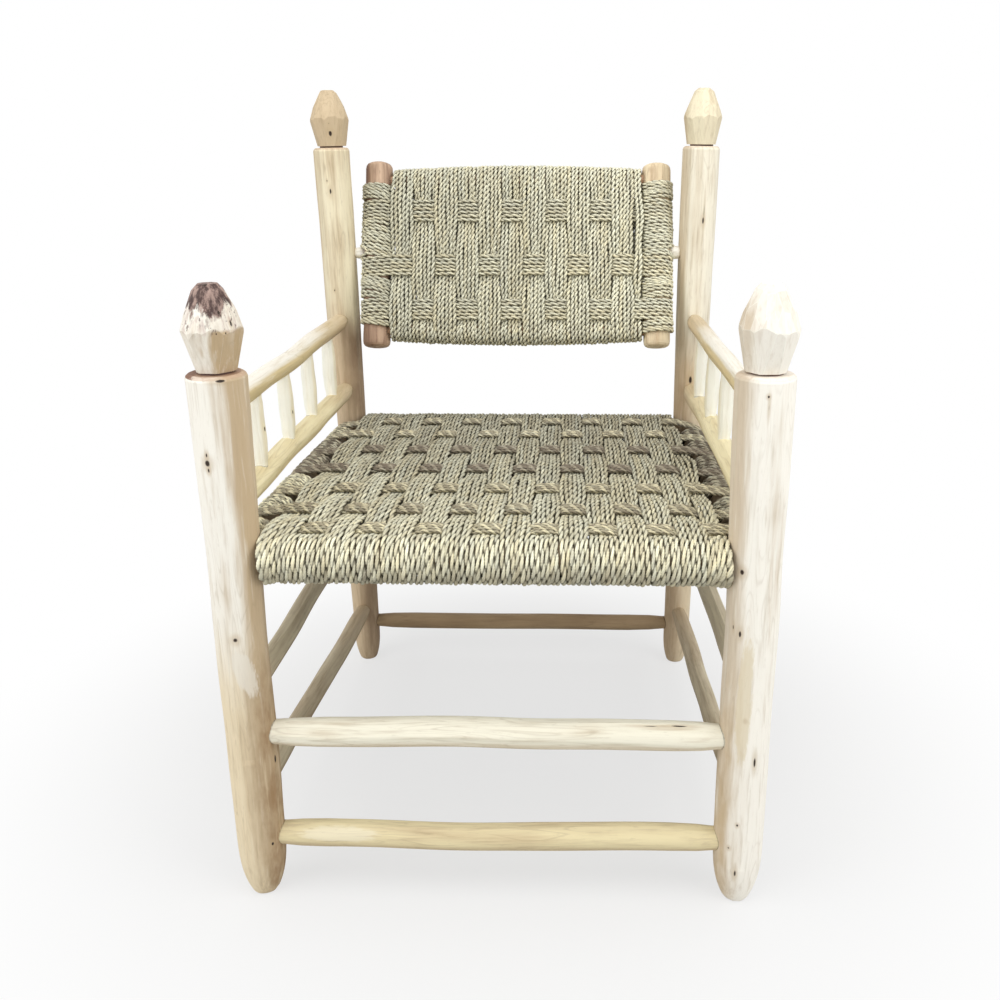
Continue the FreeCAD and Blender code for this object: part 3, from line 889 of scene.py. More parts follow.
KERF_DEPTH = 0.0035
POST_SHAPES = {
    "front": SimpleNamespace(
        line=front_line, foot_r=0.0275, seat_r=0.0282, flat=0.014, taper=0.080, seat_z=FRONT_RAIL.z,
        top=((0.0207, 0.0), (0.0302, 0.0430), (0.0258, 0.0580), (0.0165, 0.0790), (0.0095, 0.0866)),
        strokes=(11, 21, 19, 9)),
    "rear": SimpleNamespace(
        line=rear_line, foot_r=0.0210, seat_r=0.0224, flat=0.013, taper=0.060, seat_z=REAR_RAIL.z,
        top=((0.0202, 0.0), (0.0276, 0.0380), (0.0232, 0.0520), (0.0135, 0.0730), (0.0080, 0.0776)),
        strokes=(10, 16, 14, 8)),
}
SHOULDER_R = {"left_front": 0.0308, "left_rear": 0.0266, "right_front": 0.0301, "right_rear": 0.0270}
POST_KNOTS = {
    "left_front": ((-104, 0.533, 0.0305, 0.0025, 0.75), (-104, 0.5415, 0.0305, 0.0010, 0.45),
                   (-103, 0.5255, 0.0305, 0.0010, 0.45), (-84, 0.335, 0.028, 0.0022, 0.85),
                   (-64, 0.6168, 0.0308, 0.0048, 3.4), (-46, 0.0746, 0.0275, 0.0014, 0.7),
                   (-16, 0.178, 0.0276, 0.0017, 0.35), (-8, 0.074, 0.0275, 0.0009, 0.12)),
    "left_rear": ((-91, 0.772, 0.0265, 0.0014, 0.35), (-100, 0.787, 0.0266, 0.0008, 0.6),
                  (-102, 0.627, 0.0260, 0.0009, 0.6)),
    "right_front": ((-94, 0.603, 0.0302, 0.0010, 0.8), (-92, 0.591, 0.0306, 0.0007, 0.12),
                    (-128, 0.415, 0.0282, 0.0024, 0.8), (-126, 0.345, 0.0281, 0.0014, 0.40),
                    (-145, 0.350, 0.0281, 0.0009, 0.30), (-101, 0.2436, 0.0279, 0.0011, 0.8),
                    (-74, 0.1934, 0.0278, 0.0013, 0.22), (-105, 0.113, 0.0276, 0.0011, 0.8),
                    (-123, 0.0804, 0.0275, 0.0012, 0.8), (-104, 0.050, 0.0262, 0.0011, 0.25)),
    "right_rear": ((-77, 0.741, 0.0264, 0.0007, 0.05), (-79, 0.7285, 0.0263, 0.0014, 0.3),
                   (-94, 0.489, 0.0235, 0.0022, 0.4)),
}
TOP_KNOTS = {
    "left_front": ((-98, 0.011, 0.0250, 0.0006, 0.06), (-84, 0.0845, 0.0085, 0.0024, 0.5),
                   (-29, 0.0490, 0.0280, 0.0012, 0.4), (-51, 0.0610, 0.0240, 0.0012, 0.5),
                   (-63, 0.0405, 0.0290, 0.0010, 0.7), (-45, 0.0405, 0.0290, 0.0009, 0.7),
                   (-168, 0.0560, 0.0258, 0.0010, 0.3)),
    "left_rear": ((-78, 0.0175, 0.0230, 0.0022, 0.6), (-80, 0.031, 0.0262, 0.0009, 0.8)),
}
POST_SCRAPES = {"left_front": (-67, 0.293, 0.028, 0.0105, 0.6, (0.84, 0.79, 0.69), 0.66),
                "right_front": (-106, 0.268, 0.075, 0.0080, 0.0, (0.70, 0.575, 0.335), 0.50)}


def make_post(key, seed, wood, ring, top_wood, tints):
    """Whittled post and its carved top, in place of a CAD post."""
    word, rank = key.split("_")
    sizes, tan = bpy.context.scene.chair_posts, bpy.context.scene.chair_wood.tan
    node, shape, top_r = f"{key}_post", POST_SHAPES[rank], SHOULDER_R[key]
    shoulder = sizes.front_shoulder if rank == "front" else sizes.rear_shoulder
    kerf_r = shape.top[0][0] - KERF_DEPTH
    profile = foot_outline(shape.foot_r, shape.flat, shape.taper)
    profile += [(shape.seat_z, shape.seat_r),
                (0.6 * shape.seat_z + 0.4 * shoulder, 0.3 * shape.seat_r + 0.7 * top_r),
                (shoulder - 0.0045, top_r), (shoulder - 0.0020, top_r - 0.0011),
                (shoulder - 0.0006, top_r - 0.0028), (shoulder, top_r - 0.0042),
                (shoulder + 0.0002, kerf_r), (shoulder + 0.006, kerf_r)]
    foot, head = shape.line(SIDES[word], 0.0), shape.line(SIDES[word], shoulder)
    rim = (float(np.linalg.norm(head - foot)), 1.0 if key == "left_front" else 0.0, ring)
    skin = wood_material(f"{node}_wood", dark=tan, knots=POST_KNOTS[key], rim=rim,
                         scraped=POST_SCRAPES.get(key), **wood)
    piece = shaved_stick(f"{node}_wood", foot, head, profile, seed, bow=0.0012, cuts=30, cut_depth=0.0016,
                         spokes=96)
    finish_piece(piece, "frame", skin, "pale_wood", node)
    light, up = top_wood["light"], unit(head - foot)
    face = wood_material(f"{node}_top_wood", dark=tan, knots=TOP_KNOTS.get(key, ()), warmth=0.30, **top_wood)
    edge = wood_material(f"{node}_arris_wood", dark=halfway(light, tan), warmth=0.30,
                         **{**top_wood, "light": tinted(light, 1.06)})
    point = carved_top(f"{node}_top", head + up * sizes.kerf, up, shape.top, shape.strokes, tints, seed + 40,
                       (face, edge))
    finish_piece(point, "frame", None, "pale_wood", node)


class CHAIR_OT_posts(Operator):
    """Four whittled posts with carved tops, in place of the CAD posts"""
    bl_idname = "chair.posts"
    bl_label = "Posts"

    def execute(self, context):
        colours = context.scene.chair_wood
        white, cream = colours.white, colours.cream
        # shade paints shade on one side of each post; low browns the leg, partly as painted shade
        woods = {
            "left_front": dict(light=white, warmth=0.32, figure=0.7, shade=(1.0, 0.0, 0.031, 0.95, 0.36),
                               low=(0.40, 0.97, -0.18, 1, (0.83, 0.70, 0.48), (0.30, 0.18, 0.085), -0.32)),
            "left_rear": dict(light=cream, warmth=0.56, figure=1.2, shade=(-0.8, 0.3, 0.026, 0.85, 0.50),
                              low=(0.60, 0.90, -0.05, 1, (0.64, 0.49, 0.32), (0.25, 0.16, 0.10))),
            "right_front": dict(light=tinted(white, 1.03), warmth=0.24, figure=0.6,
                                shade=(-1.0, 0.0, 0.031, 0.70, 0.52),
                                low=(0.42, 0.85, -0.22, -1, (0.975, 0.935, 0.845), (0.53, 0.385, 0.21),
                                     -0.12)),
            "right_rear": dict(light=halfway(white, cream), warmth=0.38, figure=0.9,
                               shade=(-1.0, 0.2, 0.026, 0.65, 0.40),
                               low=(0.57, 0.80, -0.10, -1, (0.72, 0.58, 0.38), (0.44, 0.30, 0.18))),
        }
        tops = {
            "left_front": dict(light=white, figure=0.7, shade=(1.0, -0.1, 0.028, 0.95, 0.30, 0.043),
                               bark=(0.056, 0.080, 0.25, -1.0)),
            "left_rear": dict(light=(0.62, 0.49, 0.32), figure=1.2, shade=(0.5, 0.5, 0.026, 0.8, 0.40)),
            "right_front": dict(light=white, figure=0.5, shade=(-1.0, -0.2, 0.028, 0.50, 0.70)),
            "right_rear": dict(light=cream, figure=0.8, shade=(-0.7, 0.5, 0.026, 0.5, 0.40)),
        }
        rings = {"left_front": 0.55, "left_rear": 0.40, "right_front": 0.15, "right_rear": 0.25}
        tints = {"left_front": (0.34, 0.12), "left_rear": (0.34, 0.20), "right_front": (0.12, 0.26),
                 "right_rear": (0.25, 0.15)}
        for seed, key in enumerate(woods, 1):
            make_post(key, seed, woods[key], rings[key], tops[key], tints[key])
        return {"FINISHED"}


class CHAIR_OT_stretchers(Operator):
    """Seven shaved stretchers between the legs, in place of the CAD stretchers"""
    bl_idname = "chair.stretchers"
    bl_label = "Stretchers"

    def execute(self, context):
        tan = context.scene.chair_wood.tan
        # Each shade paints shade underneath; the side sticks' low browns them towards the rear, partly as
        # painted shade
        pale = wood_material("stretcher_pale_wood", (0.80, 0.695, 0.430), tan, warmth=0.36,
                             shade=(-1.0, 0.0, 0.0155, 0.55, 0.25),
                             scraped=(60, 0.092, 0.045, 0.0085, 0.0, (0.90, 0.85, 0.70), 0.42))
        slits = ((22, 0.446, 0.0162, 0.0008, 0.07), (34, 0.463, 0.0163, 0.0006, 0.06),
                 (18, 0.478, 0.0160, 0.0009, 0.10), (30, 0.486, 0.0160, 0.0005, 0.08))
        white = wood_material("stretcher_white_wood", (0.91, 0.87, 0.72), tan, slits, warmth=0.24, figure=0.8,
                              shade=(-1.0, 0.0, 0.0165, 0.50, 0.35))
        side_wood = wood_material("stretcher_side_wood", (0.66, 0.58, 0.41), (0.36, 0.265, 0.16), warmth=0.50,
                                  shade=(1.0, 0.0, 0.012, 0.95, 0.10),
                                  low=(0.30, 0.75, 0.22, 1, (0.46, 0.345, 0.215), (0.25, 0.17, 0.095)))
        red = wood_material("stretcher_red_wood", (0.40, 0.285, 0.165), (0.27, 0.18, 0.10), warmth=0.5)
        front_grip, rear_grip = 0.0275, 0.0215
        front, rear = (front_line, front_grip), (rear_line, rear_grip)
        for word, (line, grip), z, tenon, middle_r, taper, wood, seed, bow in (
                ("front_low", front, 0.076, 0.0135, 0.0155, 0.050, pale, 101, 0.002),
                ("front_high", front, 0.209, 0.0140, 0.0165, 0.050, white, 102, 0.0025),
                ("back", rear, 0.068, 0.0105, 0.0130, 0.060, red, 103, 0.002)):
            lay_stick(f"{word}_stretcher", line(-1, z), line(1, z), (grip, grip), tenon, middle_r, taper,
                      wood, seed, bow=bow)
        for word, side in SIDES.items():
            for rank, front_z, rear_z, seed in (("high", 0.254, 0.254, 106), ("low", 0.128, 0.093, 110)):
                lay_stick(f"{word}_{rank}_stretcher", front_line(side, front_z), rear_line(side, rear_z),
                          (front_grip, rear_grip), 0.0112, 0.0124, 0.060, side_wood, seed + side)
        return {"FINISHED"}


SPINDLES = 4
SPINDLE_KNOTS = {"left_1": ((-20, 0.057, 0.0094, 0.0011, 0.4),),
                 "left_2": ((-18, 0.047, 0.0094, 0.0013, 0.5),)}


class CHAIR_OT_arms(Operator):
    """Arm rails and spindles, in place of the CAD ones"""
    bl_idname = "chair.arms"
    bl_label = "Arms"

    def execute(self, context):
        rear_tones = ((0.62, 0.485, 0.30), (0.38, 0.26, 0.15))
        # shade paints shade under the rails and on the inner side of the spindles; low browns the rails
        # towards the rear, partly as painted shade
        high_wood = wood_material("high_arm_rail_wood", (0.85, 0.81, 0.72), (0.63, 0.50, 0.26), warmth=0.30,
                                  shade=(1.0, 0.0, 0.0128, 0.95, -0.50),
                                  low=(0.30, 0.90, 0.20, 1, *rear_tones))
        low_wood = wood_material("low_arm_rail_wood", (0.86, 0.77, 0.50), (0.62, 0.485, 0.25), warmth=0.42,
                                 shade=(1.0, 0.0, 0.0140, 0.75, 0.05),
                                 low=(0.34, 0.85, 0.20, 1, *rear_tones))
        high_z, low_z = middle("left_high_arm_rail").z, middle("left_low_arm_rail").z
        for word, side in SIDES.items():
            for rank, z, grips, middle_r, wood, seed in (
                    ("high", high_z, (0.031, 0.025), 0.0128, high_wood, 120),
                    ("low", low_z, (0.030, 0.024), 0.0140, low_wood, 124)):
                lay_stick(f"{word}_{rank}_arm_rail", front_line(side, z), rear_line(side, z), grips, 0.0100,
                          middle_r, 0.030, wood, seed + side)
            for k in range(1, SPINDLES + 1):
                wood = wood_material(f"{word}_arm_spindle_{k}_wood", (0.995, 0.98, 0.87), (0.78, 0.67, 0.42),
                                     SPINDLE_KNOTS.get(f"{word}_{k}", ()), 0.12, 0.5,
                                     shade=(-side, 0.2, 0.009, 0.60, 0.60))
                share = k / (SPINDLES + 1)
                foot, head = (front_line(side, z) * (1 - share) + rear_line(side, z) * share
                              for z in (low_z, high_z))
                lay_stick(f"{word}_arm_spindle_{k}", foot, head, (0.0138, 0.0122), 0.0076, 0.0096, 0.030,
                          wood, 130 + 10 * side + k, bow=0.0008, cuts=12, cut_depth=0.0010, spokes=40)
        return {"FINISHED"}


# Woven seat

ACROSS, ALONG = (1, 0, 0), (0, 1, 0)
SEAT_HALF, SEAT_SAG = 0.2416, -0.004
SEAT_LONG_HOLD, SEAT_CROSS_HOLD = 0.009, 0.0080
SEAT_LANES, WRAP_GAP, WOUND_GAP, WRAP_EDGE = 5, 0.0061, 0.0058, 0.0052
ROLL_DEPTH, ROLL_REACH = 0.0065, 0.12
FRONT_POST_CLEAR, REAR_POST_CLEAR = 0.0345, 0.0285
SIDE_RAIL_DROP = FRONT_RAIL.z - middle("left_seat_rail").z + (REAR_RAIL.z - FRONT_RAIL.z) / 2
# Rows of cross cords: place, then how brown, yellow and bright they are
SEAT_ROWS = ((0.221, 0.36, 0.70, 0.74), (0.150, 0.34, 0.75, 0.78), (0.066, 0.66, 0.40, 0.72),
             (-0.027, 0.70, 0.35, 0.74), (-0.114, 0.34, 0.85, 0.82), (-0.198, 0.38, 0.80, 0.80),
             (-0.269, 0.28, 0.90, 0.86))
# Stretches of side winding as brown, yellow and bright; the right side's lower brightness is painted shade
# under the arm
WINDING_DYES_AND_SHADE = {"left": ((0.55, 0.5, 0.70), (0.25, 0.6, 0.88), (0.05, 0.60, 1.02), (0.06, 0.60, 1.0),
                         (0.55, 0.4, 0.78), (0.50, 0.45, 0.78), (0.15, 0.7, 0.88), (0.15, 0.7, 0.84)),
                "right": ((0.58, 0.5, 0.65), (0.36, 0.6, 0.74), (0.28, 0.6, 0.78), (0.46, 0.5, 0.72),
                          (0.56, 0.4, 0.68), (0.56, 0.4, 0.68), (0.50, 0.5, 0.70), (0.4, 0.6, 0.74))}


def seat_share(y):
    """How far back a place lies, from 0 at the front rail to 1 at the rear one."""
    return (y - FRONT_RAIL.y) / (REAR_RAIL.y - FRONT_RAIL.y)


def side_rail(y):
    """Axis of the right side rail: distance from the middle and height."""
    first, last = front_line(1, FRONT_RAIL.z - SIDE_RAIL_DROP), rear_line(1, REAR_RAIL.z - SIDE_RAIL_DROP)
    return tuple(first[k] + (last[k] - first[k]) * seat_share(y) for k in (0, 2))


def seat_plan(sizes):
    """Places that the seat's cords share: the loop round the rails, the groups and the wraps."""
    front, rear = (FRONT_RAIL.y, FRONT_RAIL.z), (REAR_RAIL.y, REAR_RAIL.z)
    radius = half_height("front_seat_rail") + 0.0010 + sizes.width / 2
    loop = round_two_rails(front, rear, radius)
    below = np.clip((front[1] - loop.places[:, 1]) / radius, 0, 1)
    ahead = np.clip((front[0] + ROLL_REACH - loop.places[:, 0]) / ROLL_REACH, 0, 1)
    loop.places[:, 1] -= ROLL_DEPTH * below * ahead
    counts = [sizes.group_cords + 1] + [sizes.group_cords] * (sizes.seat_groups - 2) + [sizes.group_cords - 2]
    pitch = 2 * SEAT_HALF / sum(counts)
    first_y, last_y = front[0] + FRONT_POST_CLEAR, rear[0] - REAR_POST_CLEAR
    wraps = [min(max(y, first_y + 2 * WRAP_GAP), last_y - 2 * WRAP_GAP) for y, *_ in SEAT_ROWS]
    return SimpleNamespace(radius=radius, loop=loop, counts=counts, pitch=pitch, first_y=first_y,
                           last_y=last_y, centres=group_centres(-SEAT_HALF, pitch, counts), wraps=wraps)


def seat_dye_and_shade(base, points):
    """Dye of a long seat cord with painted light and shade: browner and darker to the rear and below, partly
    its own tone and partly painted shade, and brighter on the front roll, a painted highlight.
    """
    tint = np.tile(base, (len(points), 1))
    near = np.clip((0.10 - points[:, 1]) / 0.34, 0, 1)
    roll = np.clip((FRONT_RAIL.y + 0.004 - points[:, 1]) / 0.02, 0, 1)
    below = np.clip((FRONT_RAIL.z + 0.002 - points[:, 2]) / 0.020, 0, 1)
    tint[:, 0] += 0.16 * (1 - near) + 0.17 * below
    tint[:, 2] *= (0.64 + 0.22 * near + 0.20 * roll) * (1 - 0.30 * below)
    return tint


def seat_fullness(points):
    """How much thicker a long seat cord is on the underside and, in front, at both ends of the seat."""
    under = np.clip((FRONT_RAIL.z + 0.004 - points[:, 2]) / 0.020, 0, 1)
    ahead = np.clip((FRONT_RAIL.y + 0.12 - points[:, 1]) / 0.10, 0, 1)
    edge = np.clip((np.abs(points[:, 0]) - 0.226) / 0.006, 0, 1)
    last = np.clip((np.abs(points[:, 0]) - 0.2345) / 0.003, 0, 1)
    return 1.0 + under * (0.13 + 0.11 * ahead) + ahead * (edge * (0.16 + 0.16 * under) + 0.20 * last)


def seat_long_cords(sizes, plan, rng):
    """Groups of cords that run front to back round the front and rear rails."""
    loop = plan.loop
    top = loop.face == 1
    stops = np.array([seat_share(y) * loop.span for y, *_ in SEAT_ROWS])
    sag = SEAT_SAG * np.clip(1 - (2 * loop.station / loop.span - 1) ** 2, 0, 1) * top
    groups = []
    for group, count in enumerate(plan.counts):
        signs = np.array([-cross_sign(group, row) for row in range(len(SEAT_ROWS))])
        weave = weave_round(loop, stops, signs, SEAT_LONG_HOLD)
        cords = []
        for k in range(count):
            rise = weave * sizes.lift + sag + periodic_wander(rng, len(weave), 14, 0.0003)
            place = loop.places + loop.outward * rise[:, None]
            spread = (k - (count - 1) / 2) * plan.pitch * (0.98 + 0.05 * weave)
            drift = periodic_wander(rng, len(weave), 9, 0.0005) + loop.under * plan.pitch / 2
            if group == sizes.seat_groups - 1 and k >= 2:
                parted = np.exp(-((loop.places[:, 0] - 0.01) / 0.05) ** 2) * top
                drift = drift + 0.006 * (k - 1) / 2 * parted
            fan = 1.0 + 0.0195 * np.clip((0.10 - place[:, 0]) / 0.40, 0, 1)
            line = np.stack([(plan.centres[group] + spread) * fan + drift, place[:, 0], place[:, 1]], axis=1)
            base = (0.05 + 0.16 * rng.random(), 0.20 + 0.45 * rng.random(), 0.92 + 0.16 * rng.random())
            cords.append((line, ACROSS, True, partial(seat_dye_and_shade, base)))
        groups.append(cords)
    return groups


def seat_cross_cords(sizes, plan, rng):
    """Rows of cords that run side to side, woven through the long ones and round the side rails."""
    lift = sizes.width - sizes.lift + 0.0006
    x = np.linspace(-SEAT_HALF, SEAT_HALF, 260)
    rows = []
    for row, (y, brown, yellow, bright) in enumerate(SEAT_ROWS):
        signs = np.array([cross_sign(group, row) for group in range(sizes.seat_groups)])
        ends = (-SEAT_HALF - WEAVE_END, SEAT_HALF + WEAVE_END)
        weave = over_and_under(x, plan.centres, signs, SEAT_CROSS_HOLD, ends)
        level = FRONT_RAIL.z + (REAR_RAIL.z - FRONT_RAIL.z) * seat_share(y) + weave * lift
        dip = SEAT_SAG * (1 - (2 * seat_share(y) - 1) ** 2)
        cords = []
        for lane in range(SEAT_LANES):
            shift = lane - (SEAT_LANES - 1) / 2
            woven_y, wrap_y = y + shift * (0.0053 + 0.0003 * weave), plan.wraps[row] + shift * WRAP_GAP
            crown = 0.0010 * (1 - abs(shift) / 2)
            upper = np.stack([x, level + plan.radius + dip + crown, woven_y], axis=1)
            under = np.stack([x, level - plan.radius, woven_y], axis=1)[::-1]
            line = band_loop(upper, under, side_rail(wrap_y), plan.radius, wrap_y, 8)
            dye_and_shade = (brown + rng.uniform(-0.08, 0.08), yellow + rng.uniform(-0.2, 0.2),
                   bright * rng.uniform(0.94, 1.06))
            cords.append((line[:, [0, 2, 1]], ALONG, True, dye_and_shade))
        rows.append(cords)
    return rows


def seat_windings(plan, side, dyes_and_shades):
    """Coils round a side rail, before, between and behind the rows of cross cords."""
    edges, reach = sorted(plan.wraps), 2 * WRAP_GAP + WRAP_EDGE
    coils = []
    for before, after, dye_and_shade in zip([plan.first_y - reach] + edges, edges + [plan.last_y + reach], dyes_and_shades):
        start, stop = before + reach, after - reach
        if stop - start < 0.003:
            continue
        turns = int(round((stop - start) / WOUND_GAP)) + 1
        share = np.linspace(0, 1, turns * STEPS_IN_COIL)
        y = start + (stop - start) * share + 0.0012 * np.sin(share * turns * 5.1 + start * 300)
        turn = -0.6 * math.pi + 2 * math.pi * turns * share
        swell = plan.radius + 0.0008 * np.sin(7 * share * math.pi + start * 90)
        rail_x, rail_z = side_rail(y)
        line = np.stack([side * (rail_x + swell * np.cos(turn)), y, rail_z + swell * np.sin(turn)], axis=1)
        coils.append((line, ALONG, False, dye_and_shade))
    return coils


class CHAIR_OT_seat_cord(Operator):
    """Woven seat: long cords round the front and rear rails, cross cords and windings on the side rails"""
    bl_idname = "chair.seat_cord"
    bl_label = "Seat cord"

    def execute(self, context):
        sizes, palm = context.scene.chair_cord, cord_material("seat_palm_cord")
        plan, rng = seat_plan(sizes), np.random.default_rng(7)
        groups = seat_long_cords(sizes, plan, rng)
        rows = seat_cross_cords(sizes, plan, rng)
        pieces = []
        for part in range(0, sizes.seat_groups, 3):
            pieces.append(twisted_cords(f"seat_long_cords_{part // 3 + 1}", sum(groups[part:part + 3], []),
                                        sizes.seat_lay, sizes.width, 20 + part, seat_fullness))
        for part in range(0, len(rows), 2):
            pieces.append(twisted_cords(f"seat_cross_cords_{part // 2 + 1}", sum(rows[part:part + 2], []),
                                        sizes.weft_lay, sizes.width * 0.94, 41, strand=0.22))
        for word, side in SIDES.items():
            coils = seat_windings(plan, side, WINDING_DYES_AND_SHADE[word])
            pieces.append(twisted_cords(f"{word}_seat_windings", coils, sizes.weft_lay, sizes.width * 0.92,
                                        60 + side, strand=0.28))
        for piece in pieces:
            finish_piece(piece, "frame", palm, "palm_cord", "woven_seat")
        return {"FINISHED"}


# Tilting back

def back_place(x, forward, up):
    """Point of the leaning back: across, towards the sitter and up along the stiles."""
    x, forward, up = np.broadcast_arrays(np.asarray(x, float), forward, up)
    return np.stack([PIVOT.x + x, PIVOT.y + up * math.sin(BACK_LEAN) - forward * math.cos(BACK_LEAN),
                     PIVOT.z + up * math.cos(BACK_LEAN) + forward * math.sin(BACK_LEAN)], axis=-1)


UP_STILE = back_place(0, 0, 1) - back_place(0, 0, 0)
STILE_FOOT, STILE_R = 0.144, 0.0193
# Rounded end of a stile: distance from the end and how much slimmer it is there
STILE_END = ((0.0, 0.0085), (0.0007, 0.0050), (0.0022, 0.0023), (0.0050, 0.0006), (0.0090, 0.0))
PEG_KNOB = ((0.0190, 0.0066), (0.0225, 0.0090), (0.0260, 0.0098), (0.0310, 0.0098), (0.0338, 0.0084))


class CHAIR_OT_back_frame(Operator):
    """Stiles, pegs and cross rails of the tilting back"""
    bl_idname = "chair.back_frame"
    bl_label = "Back frame"

    def execute(self, context):
        colours = context.scene.chair_wood
        # The left stile's shade is painted shade on its left side, and its low browns its lower part, partly
        # as painted shade
        left_wood = wood_material("left_stile_wood", (0.64, 0.46, 0.32), (0.24, 0.13, 0.085), warmth=0.55,
                                  figure=1.5, shade=(-1.0, 0.2, 0.019, 0.95, 0.45),
                                  low=(0.16, 0.80, -0.10, -1, (0.46, 0.31, 0.21), (0.23, 0.135, 0.09)))
        right_wood = wood_material("right_stile_wood", (0.88, 0.75, 0.52), (0.58, 0.41, 0.25), warmth=0.42,
                                   figure=1.3)
        peg_wood = wood_material("peg_wood", colours.white, colours.cream, warmth=0.3)
        for word, wood, head, foot_r, head_r, knob in (("left", left_wood, 0.137, 0.0200, 0.0203, 0.85),
                                                       ("right", right_wood, 0.133, 0.0200, 0.0213, 1.0)):
            side, length = SIDES[word], STILE_FOOT + head
            outline = [(place, foot_r - less) for place, less in STILE_END]
            outline += [(0.0200, foot_r), (0.0400, STILE_R)]
            outline += [(length - 0.055, STILE_R), (length - 0.030, head_r)]
            outline += [(length - place, head_r - less) for place, less in reversed(STILE_END)]
            stile = shaved_stick(f"{word}_back_stile_wood", back_place(side * STILE_X, 0, -STILE_FOOT),
                                 back_place(side * STILE_X, 0, head), outline, 150 + side, bow=0.0006,
                                 cuts=14)
            finish_piece(stile, "tilting_back", wood, "brown_wood", f"{word}_back_stile")
            tip = rear_line(side, PIVOT.z)
            outline = [(0.0, 0.0055), (0.0165, 0.0058)]
            outline += [(place, radius * knob) for place, radius in PEG_KNOB]
            outline += [(0.0350, 0.0059), (float(abs(tip[0]) - STILE_X), 0.0055)]
            peg = shaved_stick(f"{word}_pivot_peg_wood", (side * STILE_X, PIVOT.y, PIVOT.z), tip, outline,
                               160 + side, bow=0.0, cuts=9, spokes=32)
            finish_piece(peg, "tilting_back", peg_wood, "pale_wood", f"{word}_pivot_peg")
        back_rail = wood_material("back_rail_wood", (0.50, 0.31, 0.19), colours.brown, place=rest_place)
        seat_rail = wood_material("seat_rail_wood", (0.34, 0.25, 0.16), (0.22, 0.155, 0.095),
                                  place=rest_place)
        for wood, words in ((back_rail, ("top_back", "bottom_back")),
                            (seat_rail, ("front_seat", "rear_seat", "left_seat", "right_seat"))):
            for word in words:
                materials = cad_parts[f"{word}_rail"].data.materials
                materials.clear()
                materials.append(wood)
        return {"FINISHED"}


BACK_HALF, BACK_SHIFT = 0.1875, -0.0010
BACK_LONG_HOLD, BACK_CROSS_HOLD = 0.013, 0.0095
BACK_LOW, BACK_TOP, BACK_RAIL_R = -0.118, 0.110, 0.011
BACK_LANES, STILE_GAP, WOUND_STILE_R = 6, 0.0053, 0.0201
# Bands of cross cords: place, gap between its cords and how much lower it lies on the stiles
BACK_BANDS = ((0.060, 0.0056, 0.0), (-0.0225, 0.0053, 0.003), (-0.0895, 0.0052, 0.0))
WINDING_ENDS = {"left": (0.098, -0.109), "right": (0.100, -0.121)}
WINDING_SLANT = {"left": -0.20, "right": 0.08}


def back_plan(sizes):
    """Places that the back's cords share: the loop round the cross rails, the groups and the stiles."""
    radius = BACK_RAIL_R + 0.0008 + sizes.width / 2
    counts = [sizes.group_cords] * sizes.back_groups + [2]
    pitch = 2 * BACK_HALF / sum(counts)
    centres = group_centres(BACK_SHIFT - BACK_HALF, pitch, counts)
    return SimpleNamespace(radius=radius, loop=round_two_rails((BACK_LOW, 0.0), (BACK_TOP, 0.0), radius),
                           counts=counts, pitch=pitch, centres=centres,
                           stile_r=WOUND_STILE_R + sizes.width / 2)


def back_tone(across):
    """Brightness of the back's cords, which rises from left to right."""
    return 0.905 + 0.10 * np.clip(across / BACK_HALF, -1, 1)


def back_dye(base, points):
    """Dye of a cross cord of the back."""
    tint = np.tile(base, (len(points), 1))
    tint[:, 2] *= back_tone(points[:, 0])
    return tint


def back_fullness(points):
    """How much thicker an upright cord is on the rear side."""
    forward = (points[:, 2] - PIVOT.z) * math.sin(BACK_LEAN) - (points[:, 1] - PIVOT.y) * math.cos(BACK_LEAN)
    return 1.0 + 0.32 * np.clip(-forward / 0.010, 0, 1)


def back_long_cords(sizes, plan, rng):
    """Cords that run up and down round the two cross rails."""
    loop, last = plan.loop, sizes.back_groups
    stops = np.array([up - BACK_LOW for up, *_ in BACK_BANDS])
    cords = []
    for group, count in enumerate(plan.counts):
        signs = np.array([-cross_sign(group, row) for row in range(len(BACK_BANDS))])
        signs[0] = 1.0 if group == last else signs[0]
        weave = weave_round(loop, stops, signs, BACK_LONG_HOLD)
        centre = plan.centres[group]
        for k in range(count):
            rise = weave * sizes.lift + periodic_wander(rng, len(weave), 10, 0.0003)
            place = loop.places + loop.outward * rise[:, None]
            x = centre + (k - (count - 1) / 2) * plan.pitch * (1.0 + 0.05 * weave)
            bow = 0.0060 * (1 - (x / BACK_HALF) ** 2)
            up = place[:, 0] + bow * np.clip(place[:, 0] / BACK_TOP, -1, 1)
            drift = periodic_wander(rng, len(weave), 6, 0.0005) + loop.under * plan.pitch / 2
            if group >= last - 1:
                parted = 0.0032 if group == last else -0.0022 * (k >= 4)
                drift = drift + parted * np.exp(-((up - 0.040) / 0.034) ** 2) * (loop.face == 1)
            dye_and_shade = (0.03 + 0.12 * rng.random(), 0.10 + 0.45 * rng.random(),
                   back_tone(centre) * rng.uniform(0.93, 1.07))
            cords.append((back_place(x + drift, place[:, 1], up), ACROSS, True, dye_and_shade))
    return cords


